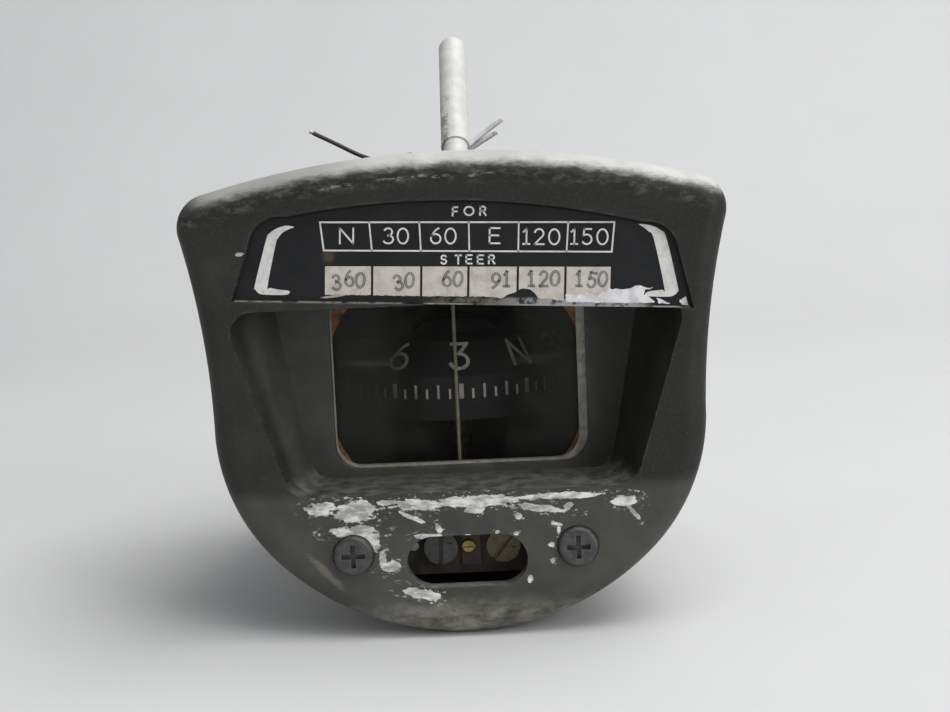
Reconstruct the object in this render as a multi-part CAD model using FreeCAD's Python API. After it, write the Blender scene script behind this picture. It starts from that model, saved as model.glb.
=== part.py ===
import FreeCAD, Part
import math
import os

# Aircraft compass: a cast front cover and a rear cover round a liquid-filled capsule with a floating card.
# Lengths are in millimetres. The case frame has x to the right, y towards the back and z up, with y = 0
# near the front edge and z = 0 at the height of the card. The origin is moved to the rod at the end.

os.makedirs("parts", exist_ok=True)
V = FreeCAD.Vector

# Screw heads and their drives, as parts of the head's radius or height
head_round = 0.45
cross_arm = 1.2
cross_wide = 0.26
slot_arm = 2.2
slot_wide = 0.3
drive_floor = 0.4

# Case outline
case_w = 88.4
case_top = 37.6
crown_r = 150.0
corner_r = 5.5
waist_in = 4.0
waist_z = -6.4
hip_r = 32.0
hip_turn = 45.0
face_y = -5.0
cover_len = 51.0
back_scale = 0.88
tail_room = 1.0
tail_scale = 0.66
wall = 2.4
front_wall = 5.5
tail_wall = 3.0
edge_r = 3.6
tail_r = 3.2
lip_len = 3.0
lip_wall = 1.6
lip_gap = 0.1

# Recess and window in the front cover
ledge_z = 13.2
mouth_top_w = 74.4
mouth_low_w = 55.6
mouth_low_z = -17.2
panel_y = 9.0
panel_wall = 2.0
panel_top_w = 62.0
panel_low_w = 50.0
panel_top_z = 15.6
tub_wall = 2.2
recess_r = 3.5
window_w = 42.8
window_top = 14.3
window_low = -16.1
window_r = 4.5

# Deviation card and its pocket
pocket_depth = 1.4
pocket_gap = 0.35
card_low_w = 72.7
card_side_w = 67.1
card_side_h = 9.5
card_shoulder_w = 56.0
card_shoulder_h = 13.3
card_apex_h = 16.3
card_plate_t = 0.3
card_plate_x = 1.2
card_plate_z = 12.9
card_plate_turn = -3.2
shoulder_bulge = 0.4
shoulder_rise = 0.68

# Slot and cover screws
slot_w = 19.6
slot_h = 8.7
slot_x = 0.2
slot_z = -28.8
relief_w = 29.0
relief_h = 13.0
relief_depth = 2.6
cover_screw_x = 18.2
cover_screw_z = -27.0
cover_screw_r = 1.75
cover_screw_head_r = 3.25
cover_screw_head_h = 1.6
cover_screw_sink = 0.5
cover_screw_grip = 5.0
post_r = 3.6
hole_gap = 0.15

# Capsule
capsule_x = -0.6
capsule_z = -2.5
capsule_r = 28.0
capsule_wall = 2.4
flange_r = 31.0
flange_t = 3.0
lug_r = 4.4
lug_t = 5.0
pivot_y = 42.0
retainer_t = 1.1
retainer_gap = 0.3
retainer_r = 30.5
retainer_w = 41.2
retainer_low = -15.75
retainer_top = 14.6
retainer_corner_r = 4.2
retainer_screw_r = 1.1
retainer_screw_head_r = 1.9
retainer_screw_len = 3.6
retainer_slot_w = 0.5
retainer_slot_depth = 0.4
gasket_t = 1.0
gasket_bore_r = 22.4
glass_r = 26.4
glass_t = 2.2
glass_gap = 0.1
lubber_r = 0.3
lubber_gap = 0.5
lubber_root = 0.8
tail_flat = 22.0
tail_flange_t = 3.0
diaphragm_bore_r = 10.0
diaphragm_t = 0.4
diaphragm_rib = 0.8
diaphragm_cover_h = 3.6
diaphragm_cover_wall = 0.8
diaphragm_screw_r = 0.9
diaphragm_screw_head_r = 1.5
diaphragm_screw_head_h = 0.8
diaphragm_screw_len = 3.4
diaphragm_screw_out = 1.6
vent_r = 0.9
boss_circle_r = 21.0
boss_r = 3.0
rear_screw_r = 1.4
rear_screw_head_r = 2.6
rear_screw_head_h = 1.4
rear_screw_sink = 1.7
rear_screw_len = 9.0

# Filler plug on the left flank of the capsule
filler_y = 34.0
filler_boss_r = 4.6
filler_boss_h = 1.6
filler_plug_r = 2.4
filler_head_r = 3.8
filler_head_h = 1.2
filler_gasket_t = 0.5
filler_slot_w = 0.8

# Jewel post, sprung cup and pivot
post_outer_r = 2.2
post_bore_r = 1.6
cup_travel = 0.8
cup_head_r = 2.1
cup_top = -0.25
cup_head_h = 1.95
cup_stem_len = 3.8
cup_fit = 0.05
spring_len = 6.0
spring_wire_r = 0.3
spring_turns = 4
spring_steps = 10
spring_side = 0.15
spring_end = 0.02
jewel_r = 1.2
jewel_h = 1.35
tip_r = 0.8
tip_gap = 0.05
pin_gap = 0.03
pin_collar_r = 1.2
pin_shank_r = 0.6
pin_top = 5.4

# Card, float and magnets, measured from the pivot
card_r = 23.2
card_t = 0.6
card_low = -7.5
card_bend = 0.2
card_rim_r = 18.9
card_rim = 5.8
card_hole_r = 8.0
float_r = 13.0
float_low = -6.0
float_top = 5.2
float_crown = 1.3
hub_low = 1.8
well_r = 2.8
well_angle = 28.0
card_heading = 32.0
magnet_w = 3.0
magnet_len = 24.0
magnet_offset = 9.2
magnet_sink = 1.0

# Compensator behind the slot
adjuster_x = (-4.2, 6.2)
adjuster_z = -28.1
adjuster_head_r = 2.8
adjuster_head_h = 1.6
adjuster_head_y = 1.25
adjuster_slot_w = 0.7
adjuster_slot_depth = 0.7
dot_r = 0.35
dot_depth = 0.3
dot_place = 0.62
dot_turn = 55.0
head_clearance = 0.15
shaft_r = 0.8
shaft_fit = 0.03
end_play = 0.05
shaft_short = 0.2
frame_plate_t = 1.0
frame_web_t = 0.8
frame_h = 9.6
frame_side = 3.6
frame_block_x = (-0.7, 2.4)
frame_block_t = 0.8
frame_block_h = 6.4
gear_teeth = 10
gear_module = 0.45
gear_y = 4.2
gear_t = 1.2
tooth_tip = 4.2
tooth_root = 10.0
bar_len = 6.6
bar_w = 1.8
bar_t = 1.6
bar_space = 0.4
comp_screw_x = 0.4
comp_screw_r = 0.8
comp_screw_head_r = 1.15
comp_screw_head_h = 0.6

# Lamp over the window
lamp_y = 5.4
lens_r = 3.0
lens_t = 1.6
lens_sink = 0.4
lens_fit = 0.02
socket_r = 2.7
socket_bore_r = 1.9
socket_low = 20.0
socket_len = 10.0
socket_collar_r = 3.4
socket_collar_t = 0.8
terminal_w = 5.0
terminal_h = 2.4
terminal_len = 3.6
bulb_r = 1.6
bulb_base_r = 1.85
bulb_base_len = 4.5
bulb_len = 3.6
lamp_arm_z = 21.4
lamp_arm_t = 1.0
lamp_arm_w = 8.4
lamp_screw_r = 1.1
lamp_screw_head_r = 1.9
lamp_screw_head_h = 1.0
lamp_plate_over = 2.2
bulb_room = 3.0

# Mounting rod and its bracket
rod_x = 0.9
rod_r = 2.55
rod_spigot_r = 2.2
rod_lean = 53.0
rod_exit_y = 31.0
rod_exit_z = 35.0
rod_shoulder = 3.0
rod_free_len = 29.5
rod_low_z = 29.6
rod_hole_gap = 0.8
pad_z = 26.8
pad_w = 17.0
pad_len = 17.6
bracket_w = 14.0
bracket_y = 19.5
bracket_len = 13.5
bracket_h = 4.4
bracket_screw_x = 5.0
bracket_screw_in = 2.2
bracket_screw_r = 1.1
bracket_screw_head_r = 1.8
bracket_screw_head_h = 1.2
bracket_screw_len = 5.6
set_screw_r = 1.0
set_screw_up = 1.6
set_screw_slot_w = 0.5
set_screw_slot_h = 0.7

# Grommet and leads
grommet_x = -5.0
grommet_in = 7.4
grommet_z = 33.0
grommet_r = 2.9
grommet_flange_r = 4.0
grommet_flange_t = 1.0
grommet_neck = 2.1
grommet_foot_t = 0.8
grommet_foot_r = 3.6
grommet_flat = 0.4
lead_step = 1.7
grommet_y = face_y + cover_len - grommet_in
black_lead_r = 0.4
white_lead_r = 0.5
terminal_back = lamp_y + terminal_len
exit_z = grommet_z + grommet_flange_t
black_x = grommet_x - lead_step
white_a_x = grommet_x + lead_step
white_b_x = grommet_x
black_inner_route = [
    (-2.3, terminal_back, 29.5), (-2.3, 11.3, 29.5), (-7.4, 14.8, 29.2), (-11.2, 19.8, 28.8),
    (-11.2, 26.4, 28.0), (-10.6, 32.6, 26.6), (black_x, grommet_y, 27.6), (black_x, grommet_y, exit_z)]
white_a_inner_route = [
    (1.1, terminal_back, 29.5), (1.1, 12.7, 29.5), (-3.2, 15.2, 29.8), (-7.2, 19.0, 29.8),
    (-7.4, 26.0, 29.0), (-7.3, 33.4, 27.8), (white_a_x, grommet_y, 27.8), (white_a_x, grommet_y, exit_z)]
white_b_inner_route = [
    (-0.6, terminal_back, 29.5), (-0.6, 12.0, 29.5), (-5.2, 15.0, 29.5), (-9.2, 19.4, 29.3),
    (-9.3, 26.2, 28.4), (-8.8, 32.8, 27.0), (white_b_x, grommet_y, 27.6), (white_b_x, grommet_y, exit_z)]
black_route = [
    (black_x, grommet_y, exit_z), (black_x, grommet_y, exit_z + 1.3), (-7.2, 39.9, 36.1),
    (-8.0, 42.6, 36.0), (-9.4, 47.4, 34.6), (-12.8, 51.8, 33.9), (-17.4, 52.8, 35.4), (-21.6, 52.4, 37.8),
    (-26.0, 51.6, 40.1)]
white_a_route = [
    (white_a_x, grommet_y, exit_z), (white_a_x, grommet_y, exit_z + 1.3), (-3.0, 40.1, 36.0),
    (-2.2, 43.6, 35.7), (-0.8, 48.6, 34.6), (0.7, 54.0, 34.4), (2.6, 58.4, 35.8), (5.6, 60.4, 38.1),
    (9.2, 61.6, 40.5)]
white_b_route = [
    (white_b_x, grommet_y, exit_z), (white_b_x, grommet_y, exit_z + 1.3), (-4.9, 40.2, 36.0),
    (-4.4, 44.0, 35.3), (-3.6, 49.8, 33.6), (-1.4, 55.2, 33.0), (1.4, 58.8, 34.2), (4.4, 60.2, 36.2),
    (8.0, 60.6, 38.2)]


# Values worked out from the sizes above
cover_back = face_y + cover_len
inner_y = face_y + front_wall
seat_y = face_y + pocket_depth
panel_back = panel_y + panel_wall
retainer_y = panel_back + retainer_gap
flange_y = retainer_y + retainer_t
glass_y = flange_y + gasket_t
glass_back = glass_y + glass_t
capsule_bore_r = capsule_r - capsule_wall
lubber_y = glass_back + lubber_gap + lubber_r
tail_flat_y = pivot_y + tail_flat
tail_flange_y = tail_flat_y + tail_flange_t
tail_y = tail_flange_y + diaphragm_t + diaphragm_cover_h + tail_room + tail_wall
tail_len = tail_y - cover_back
tail_flange_r = math.sqrt(capsule_r ** 2 - tail_flat ** 2)
boss_y = tail_y - tail_wall
bowl_floor = -capsule_bore_r
post_top = cup_top - cup_head_h - cup_travel
stem_low = cup_top - cup_head_h - cup_stem_len
spring_seat = stem_low - spring_len
frame_y = adjuster_head_y + adjuster_head_h + end_play
frame_back = retainer_y
gear_pitch_r = gear_teeth * gear_module / 2
idler_x = (adjuster_x[0] - 2 * gear_pitch_r, adjuster_x[1] + 2 * gear_pitch_r)
drive_bar_y = gear_y + gear_t + bar_space
idler_bar_y = drive_bar_y + bar_t + bar_space
lamp_x = capsule_x
lens_z = panel_top_z
rod_dir = V(0, math.sin(math.radians(rod_lean)), math.cos(math.radians(rod_lean)))
rod_exit = V(rod_x, rod_exit_y, rod_exit_z)
rod_end = rod_exit - rod_dir * ((rod_exit_z - rod_low_z) / rod_dir.z)
rod_free_start = rod_exit + rod_dir * rod_shoulder
origin = rod_free_start + rod_dir * (rod_free_len / 2)
pivot = V(capsule_x, pivot_y, capsule_z)


# Shapes in general

def polar(centre, radius, angle):
    return (centre[0] + radius * math.cos(angle), centre[1] + radius * math.sin(angle))


def arc_edge(start, middle, end, y):
    points = [V(x, y, z) for x, z in (start, middle, end)]
    return Part.Arc(*points).toShape()


def line_edge(start, end, y):
    return Part.LineSegment(V(start[0], y, start[1]), V(end[0], y, end[1])).toShape()


def rounded(corners, radius, y):
    """Closed wire through the corners (x, z) at depth y, each rounded by the radius."""
    count = len(corners)
    arcs = []
    for i in range(count):
        before, here, after = corners[i - 1], corners[i], corners[(i + 1) % count]
        a = V(before[0] - here[0], 0, before[1] - here[1]).normalize()
        b = V(after[0] - here[0], 0, after[1] - here[1]).normalize()
        half = a.getAngle(b) / 2
        corner = V(here[0], y, here[1])
        reach = radius / math.tan(half)
        inward = (a + b).normalize()
        middle = corner + inward * (radius / math.sin(half) - radius)
        arcs.append((corner + a * reach, middle, corner + b * reach))
    edges = []
    for i in range(count):
        edges.append(Part.Arc(*arcs[i]).toShape())
        edges.append(Part.LineSegment(arcs[i][2], arcs[(i + 1) % count][0]).toShape())
    return Part.Wire(edges)


def prism(wire, depth):
    return Part.Face(wire).extrude(V(0, depth, 0))


def loft(first, second):
    return Part.makeLoft([first, second], True, True)


def box(x0, x1, y0, y1, z0, z1):
    return Part.makeBox(x1 - x0, y1 - y0, z1 - z0, V(x0, y0, z0))


def rod_between(radius, start, end):
    return Part.makeCylinder(radius, (end - start).Length, start, end - start)


def disc_y(radius, y0, y1, x, z):
    return Part.makeCylinder(radius, y1 - y0, V(x, y0, z), V(0, 1, 0))


def turned_y(profile, x, z):
    """Solid turned about the fore-and-aft line through x, z from a profile of (radius, y)."""
    points = [V(x + r, y, z) for r, y in profile]
    face = Part.Face(Part.makePolygon(points + points[:1]))
    return face.revolve(V(x, 0, z), V(0, 1, 0), 360)


def turned_z(profile, foot):
    """Solid turned about the upright through foot from a profile of (radius, height)."""
    points = [foot + V(r, 0, h) for r, h in profile]
    face = Part.Face(Part.makePolygon(points + points[:1]))
    return face.revolve(foot, V(0, 0, 1), 360)


def joined(shapes):
    first, *others = shapes
    return first.multiFuse(others).removeSplitter() if others else first


def screw(head, direction, head_r, head_h, shank_r, length, drive="cross"):
    """Screw whose head rests at the point head; the shank runs along direction."""
    out = direction * -1
    body = rod_between(head_r, head, head + out * head_h)
    rims = [e for e in body.Edges if isinstance(e.Curve, Part.Circle)]
    outer = [e for e in rims if (e.Curve.Center - head).Length > head_h / 2]
    body = body.makeFillet(min(head_h, head_r) * head_round, outer)
    body = body.fuse(rod_between(shank_r, head, head + direction * length))
    turn = FreeCAD.Rotation(V(0, 0, 1), out)
    if drive == "slot":
        blades = [(head_r * slot_arm, head_r * slot_wide)]
    else:
        blades = [(head_r * cross_arm, head_r * cross_wide), (head_r * cross_wide, head_r * cross_arm)]
    for long, wide in blades:
        blade = Part.makeBox(long, wide, head_h, V(-long / 2, -wide / 2, head_h * drive_floor))
        blade.Placement = FreeCAD.Placement(head, turn).multiply(blade.Placement)
        body = body.cut(blade)
    return body


def tube(route, radius, name):
    """Tube of straight runs joined by tangent arcs; prints its tightest bend and checks its volume."""
    points = [V(*p) for p in route]
    edges = []
    radii = []
    start = points[0]
    for before, here, after in zip(points, points[1:], points[2:]):
        a = (before - here).normalize()
        b = (after - here).normalize()
        half_turn = (math.pi - a.getAngle(b)) / 2
        reach = 0.45 * min((before - here).Length, (after - here).Length)
        bend = reach / math.tan(half_turn)
        radii.append(bend)
        inward = (a + b).normalize()
        middle = here + inward * (bend / math.cos(half_turn) - bend)
        edges.append(Part.LineSegment(start, here + a * reach).toShape())
        edges.append(Part.Arc(here + a * reach, middle, here + b * reach).toShape())
        start = here + b * reach
    edges.append(Part.LineSegment(start, points[-1]).toShape())
    path = Part.Wire(edges)
    section = Part.Wire(Part.makeCircle(radius, points[0], points[1] - points[0]))
    solid = path.makePipeShell([section], True, False)
    ratio = solid.Volume / (math.pi * radius ** 2 * path.Length)
    print("%s length %.1f radii %s volume ratio %.4f" % (
        name, path.Length, " ".join("%.1f" % r for r in radii), ratio))
    return solid


# Case sections

def case_scale(y):
    if y <= cover_back:
        return 1 - (1 - back_scale) * (y - face_y) / cover_len
    return back_scale - (back_scale - tail_scale) * (y - cover_back) / tail_len


def case_outline(y, inset=0.0):
    """Section of the case at depth y, drawn in by inset, with all its arcs and lines tangent."""
    s = case_scale(y)
    top, crown, corner = case_top * s, crown_r * s, corner_r * s
    waist, level, hip = (case_w / 2 - waist_in) * s, waist_z * s, hip_r * s
    turn = math.radians(hip_turn)
    corner_x = case_w / 2 * s - corner
    crown_c = (0, top - crown)
    corner_c = (corner_x, crown_c[1] + math.sqrt((crown - corner) ** 2 - corner_x ** 2))
    a, b = waist - corner_x, level - corner_c[1]
    flank = (a * a + b * b - corner * corner) / (2 * (corner - a))
    flank_c = (waist + flank, level)
    hip_c = (waist - hip, level)
    step = hip_c[0] / math.cos(turn)
    chin_c = (0, level + step * math.sin(turn))
    high = math.atan2(corner_c[1] - crown_c[1], corner_x)
    low = math.atan2(level - corner_c[1], flank_c[0] - corner_x)
    right = [
        (corner_c, corner - inset, high, low),
        (flank_c, flank + inset, low + math.pi, math.pi),
        (hip_c, hip - inset, 0, -turn)]
    sides = []
    for centre, radius, start, end in right:
        sides.append([polar(centre, radius, angle) for angle in (start, (start + end) / 2, end)])
    chin = [polar(chin_c, hip + step - inset, angle) for angle in (-turn, -math.pi / 2, turn - math.pi)]
    crown_arc = [polar(crown_c, crown - inset, angle) for angle in (math.pi - high, math.pi / 2, high)]
    left = [[(-x, z) for x, z in reversed(side)] for side in reversed(sides)]
    return Part.Wire([arc_edge(*arc, y) for arc in [crown_arc] + sides + [chin] + left])


def case_block(y0, y1, inset=0.0):
    return loft(case_outline(y0, inset), case_outline(y1, inset))


# Recess, pocket and label outlines

def recess_block(y0, y1, grow):
    """Sloping space from the mouth at the face to the window panel, at depths y0 to y1, grown sideways."""
    wires = []
    for y in (y0, y1):
        t = (y - face_y) / (panel_y - face_y)
        top_w = mouth_top_w + (panel_top_w - mouth_top_w) * t + 2 * grow
        low_w = mouth_low_w + (panel_low_w - mouth_low_w) * t + 2 * grow
        top_z = ledge_z + (panel_top_z - ledge_z) * t + grow
        low_z = mouth_low_z - grow
        corners = [(-top_w / 2, top_z), (top_w / 2, top_z), (low_w / 2, low_z), (-low_w / 2, low_z)]
        wires.append(rounded(corners, recess_r, y))
    return loft(*wires)


def card_outline(y, grow=0.0):
    """Outline of the deviation card: straight sides, rounded shoulders and a low arched top."""
    side, shoulder = card_side_h, card_shoulder_h + grow
    side_x, shoulder_x, low_x = card_side_w / 2 + grow, card_shoulder_w / 2 + grow, card_low_w / 2 + grow
    blend = ((side_x * 2 + shoulder_x) / 3 + shoulder_bulge, side + (shoulder - side) * shoulder_rise)
    right = [(shoulder_x, shoulder), blend, (side_x, side)]
    left = [(-x, z) for x, z in reversed(right)]
    return Part.Wire([
        arc_edge(left[2], (0, card_apex_h + grow), right[0], y), arc_edge(*right, y),
        line_edge(right[2], (low_x, 0), y), line_edge((low_x, 0), (-low_x, 0), y),
        line_edge((-low_x, 0), left[0], y), arc_edge(*left, y)])


def card_block(y0, depth, grow=0.0):
    """Block with the deviation card's outline, turned and moved to its place."""
    block = prism(card_outline(y0, grow), depth)
    block.rotate(V(0, 0, 0), V(0, 1, 0), -card_plate_turn)
    block.translate(V(card_plate_x, 0, card_plate_z))
    return block


def slot_wire(width, height, x, z, y):
    radius = height / 2
    half = width / 2 - radius
    return Part.Wire([
        line_edge((x - half, z + radius), (x + half, z + radius), y),
        arc_edge((x + half, z + radius), (x + half + radius, z), (x + half, z - radius), y),
        line_edge((x + half, z - radius), (x - half, z - radius), y),
        arc_edge((x - half, z - radius), (x - half - radius, z), (x - half, z + radius), y)])


def window_block(width, low, top, radius, x, y0, y1):
    corners = [(x - width / 2, top), (x + width / 2, top), (x + width / 2, low), (x - width / 2, low)]
    return prism(rounded(corners, radius, y0), y1 - y0)


# Covers

def grommet_seat():
    """Flat spot and hole for the grommet in the crown of the cover."""
    flat = Part.makeCylinder(grommet_flange_r + grommet_flat, 4 * wall, V(grommet_x, grommet_y, grommet_z))
    hole = Part.makeCylinder(grommet_r, 4 * wall, V(grommet_x, grommet_y, grommet_z - 2 * wall))
    return flat.fuse(hole)


def edges_at(shape, y):
    """Edges of a shape that lie in the plane at depth y."""
    near = 0.01
    return [e for e in shape.Edges if abs(e.BoundBox.YMin - y) < near and abs(e.BoundBox.YMax - y) < near]


def make_front_cover():
    sides = (-cover_screw_x, cover_screw_x)
    shell = case_block(face_y, cover_back)
    shell = shell.makeFillet(edge_r, edges_at(shell, face_y))
    outside = shell.copy()
    shell = shell.cut(case_block(inner_y, cover_back, wall))
    shell = shell.fuse(recess_block(face_y + 1, panel_back, tub_wall).common(outside))
    posts = [disc_y(post_r, inner_y - 1, flange_y, x, cover_screw_z) for x in sides]
    shell = shell.multiFuse(posts)
    cuts = [
        recess_block(face_y - 2, panel_y, 0),
        card_block(face_y - 2, seat_y - face_y + 2, pocket_gap),
        window_block(window_w, window_low, window_top, window_r, 0, panel_y - 1, panel_back + 1),
        prism(slot_wire(slot_w, slot_h, slot_x, slot_z, face_y - 1), front_wall + 2),
        box(slot_x - relief_w / 2, slot_x + relief_w / 2, inner_y - relief_depth, inner_y,
            slot_z - relief_h / 2, slot_z + relief_h / 2),
        Part.makeCylinder(lens_r, 4 * tub_wall, V(lamp_x, lamp_y, lens_z - 2 * tub_wall)),
        rod_between(rod_spigot_r + rod_hole_gap, rod_end, rod_exit + rod_dir * rod_shoulder),
        grommet_seat()]
    sunk = face_y + cover_screw_sink
    for x in sides:
        cuts.append(disc_y(cover_screw_r + hole_gap, face_y - 1, flange_y + 1, x, cover_screw_z))
        cuts.append(disc_y(cover_screw_head_r + hole_gap, face_y - 1, sunk, x, cover_screw_z))
    return shell.cut(cuts)


def boss_places():
    angles = [math.radians(a) for a in (90, 210, 330)]
    return [polar((capsule_x, capsule_z), boss_circle_r, angle) for angle in angles]


def make_rear_cover():
    shell = case_block(cover_back, tail_y)
    shell = shell.makeFillet(tail_r, edges_at(shell, tail_y))
    lip_inset = wall + lip_gap
    lip = case_block(cover_back - lip_len, cover_back, lip_inset)
    shell = shell.fuse(lip)
    shell = shell.cut(case_block(cover_back - lip_len - 1, cover_back, lip_inset + lip_wall))
    shell = shell.cut(case_block(cover_back, cover_back + lip_len, lip_inset + lip_wall))
    shell = shell.cut(case_block(cover_back + lip_len, tail_y - tail_wall, wall))
    sink_y = tail_y - rear_screw_sink
    for x, z in boss_places():
        shell = shell.cut(disc_y(rear_screw_r + hole_gap, boss_y - 1, tail_y, x, z))
        shell = shell.cut(disc_y(rear_screw_head_r + hole_gap, sink_y, tail_y + 1, x, z))
    return shell


def make_cover_screws():
    length = flange_y + cover_screw_grip - face_y - cover_screw_sink
    heads = [V(x, face_y + cover_screw_sink, cover_screw_z) for x in (-cover_screw_x, cover_screw_x)]
    size = (cover_screw_head_r, cover_screw_head_h, cover_screw_r, length)
    return [screw(head, V(0, 1, 0), *size) for head in heads]


def make_rear_cover_screws():
    heads = [V(x, tail_y - rear_screw_sink, z) for x, z in boss_places()]
    return [screw(head, V(0, -1, 0), rear_screw_head_r, rear_screw_head_h, rear_screw_r, rear_screw_len)
            for head in heads]


def make_deviation_card():
    return card_block(seat_y - card_plate_t, card_plate_t)


# Capsule and window

def retainer_screw_places():
    angles = [math.radians(a) for a in (30, 150, 210, 330)]
    return [polar((capsule_x, capsule_z), (glass_r + flange_r) / 2, angle) for angle in angles]


def lamp_screw_place():
    return polar((capsule_x, capsule_z), (glass_r + flange_r) / 2, math.pi / 2)


def bracket_screw_places():
    ys = (bracket_y + bracket_screw_in, bracket_y + bracket_len - bracket_screw_in)
    return [(rod_x + side * bracket_screw_x, y) for side in (-1, 1) for y in ys]


def diaphragm_screw_places():
    radius = (diaphragm_bore_r + tail_flange_r) / 2 + diaphragm_screw_out
    return [polar((capsule_x, capsule_z), radius, math.radians(30 + 60 * k)) for k in range(6)]


def capsule_dome(radius):
    """Round-nosed cylinder along y, closed by half a ball at the pivot."""
    barrel = disc_y(radius, flange_y, pivot_y, capsule_x, capsule_z)
    ball = Part.makeSphere(radius, pivot)
    back = box(-2 * flange_r, 2 * flange_r, pivot_y, pivot_y + 2 * radius, -2 * flange_r, 2 * flange_r)
    return barrel.fuse(ball.common(back))


def make_capsule_body():
    wide = 2 * flange_r
    body = capsule_dome(capsule_r)
    body = body.cut(box(-wide, wide, tail_flat_y, pivot_y + wide, -wide, wide))
    extras = [
        disc_y(flange_r, flange_y, flange_y + flange_t, capsule_x, capsule_z),
        disc_y(tail_flange_r, tail_flat_y, tail_flange_y, capsule_x, capsule_z),
        box(rod_x - pad_w / 2, rod_x + pad_w / 2, flange_y, flange_y + flange_t + pad_len,
            capsule_z + capsule_bore_r * 0.8, pad_z),
        rod_between(filler_boss_r, V(capsule_x - capsule_bore_r * 0.9, filler_y, capsule_z),
                    V(capsule_x - capsule_r - filler_boss_h, filler_y, capsule_z))]
    for x in (-cover_screw_x, cover_screw_x):
        extras.append(disc_y(lug_r, flange_y, flange_y + lug_t, x, cover_screw_z))
    for x, z in boss_places():
        extras.append(disc_y(boss_r, pivot_y + boss_circle_r * 0.6, boss_y, x, z))
    body = body.multiFuse(extras)
    cuts = [
        capsule_dome(capsule_bore_r).cut(box(-wide, wide, 0, glass_back, -wide, wide)),
        disc_y(capsule_bore_r, glass_back - 1, pivot_y, capsule_x, capsule_z),
        disc_y(glass_r + glass_gap, flange_y - 1, glass_back, capsule_x, capsule_z),
        disc_y(diaphragm_bore_r, tail_flat_y - 5, tail_flange_y + 1, capsule_x, capsule_z),
        rod_between(filler_plug_r, V(capsule_x - capsule_bore_r * 0.8, filler_y, capsule_z),
                    V(capsule_x - capsule_r - 9, filler_y, capsule_z)),
        make_lubber_line(),
        rod_between(post_outer_r, pivot + V(0, 0, bowl_floor - 1), pivot)]
    for x in (-cover_screw_x, cover_screw_x):
        cuts.append(disc_y(cover_screw_r, flange_y - 1, flange_y + cover_screw_grip, x, cover_screw_z))
    for x, z in retainer_screw_places():
        cuts.append(disc_y(retainer_screw_r, flange_y - 1, retainer_y + retainer_screw_len, x, z))
    x, z = lamp_screw_place()
    cuts.append(disc_y(lamp_screw_r, flange_y - 1, retainer_y + retainer_screw_len, x, z))
    for x, z in boss_places():
        cuts.append(disc_y(rear_screw_r, tail_y - rear_screw_sink - rear_screw_len, tail_y, x, z))
    for x, z in diaphragm_screw_places():
        cuts.append(disc_y(diaphragm_screw_r, tail_flange_y + diaphragm_t * 2 - diaphragm_screw_len,
                           tail_flange_y + 1, x, z))
    depth = bracket_screw_len - bracket_h + bracket_screw_head_h
    for x, y in bracket_screw_places():
        cuts.append(rod_between(bracket_screw_r, V(x, y, pad_z - depth), V(x, y, pad_z + 1)))
    return body.cut(cuts)


def make_window_retainer():
    plate = disc_y(retainer_r, retainer_y, flange_y, capsule_x, capsule_z)
    cuts = [window_block(retainer_w, retainer_low, retainer_top, retainer_corner_r, capsule_x,
                         retainer_y - 1, flange_y + 1)]
    for x, z in retainer_screw_places():
        cuts.append(countersunk(x, z))
    x, z = lamp_screw_place()
    cuts.append(disc_y(lamp_screw_r, retainer_y - 1, flange_y + 1, x, z))
    cuts.append(disc_y(comp_screw_r, retainer_y - 1, flange_y + 1, comp_screw_x, adjuster_z))
    for x in (-cover_screw_x, cover_screw_x):
        cuts.append(disc_y(post_r + hole_gap, retainer_y - 1, flange_y + 1, x, cover_screw_z))
    return plate.cut(cuts)


def countersunk(x, z):
    """Flush screw of the window retainer, also used to cut its seat."""
    head = retainer_screw_head_r - retainer_screw_r
    profile = [(0, retainer_y), (retainer_screw_head_r, retainer_y), (retainer_screw_r, retainer_y + head),
               (retainer_screw_r, retainer_y + retainer_screw_len), (0, retainer_y + retainer_screw_len)]
    return turned_y(profile, x, z)


def make_retainer_screws():
    screws = []
    for x, z in retainer_screw_places():
        half = retainer_slot_w / 2
        slot = box(x - 3, x + 3, retainer_y - 1, retainer_y + retainer_slot_depth, z - half, z + half)
        screws.append(countersunk(x, z).cut(slot))
    return screws


def make_window_gasket():
    ring = disc_y(glass_r, flange_y, glass_y, capsule_x, capsule_z)
    return ring.cut(disc_y(gasket_bore_r, flange_y, glass_y, capsule_x, capsule_z))


def make_window_glass():
    return disc_y(glass_r, glass_y, glass_back, capsule_x, capsule_z)


def make_lubber_line():
    reach = capsule_bore_r + lubber_root
    foot = V(capsule_x, lubber_y, capsule_z)
    return rod_between(lubber_r, foot - V(0, 0, reach), foot + V(0, 0, reach))


def make_expansion_diaphragm():
    y = tail_flange_y
    rib = diaphragm_rib
    mid = diaphragm_bore_r * 0.62
    profile = [
        (0, y), (mid - rib, y), (mid, y - rib), (mid + rib, y), (tail_flange_r, y),
        (tail_flange_r, y + diaphragm_t), (mid + rib, y + diaphragm_t), (mid, y - rib + diaphragm_t * 1.3),
        (mid - rib, y + diaphragm_t), (0, y + diaphragm_t)]
    plate = turned_y(profile, capsule_x, capsule_z)
    holes = [disc_y(diaphragm_screw_r, y - 1, y + 1, x, z) for x, z in diaphragm_screw_places()]
    return plate.cut(holes)


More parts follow.
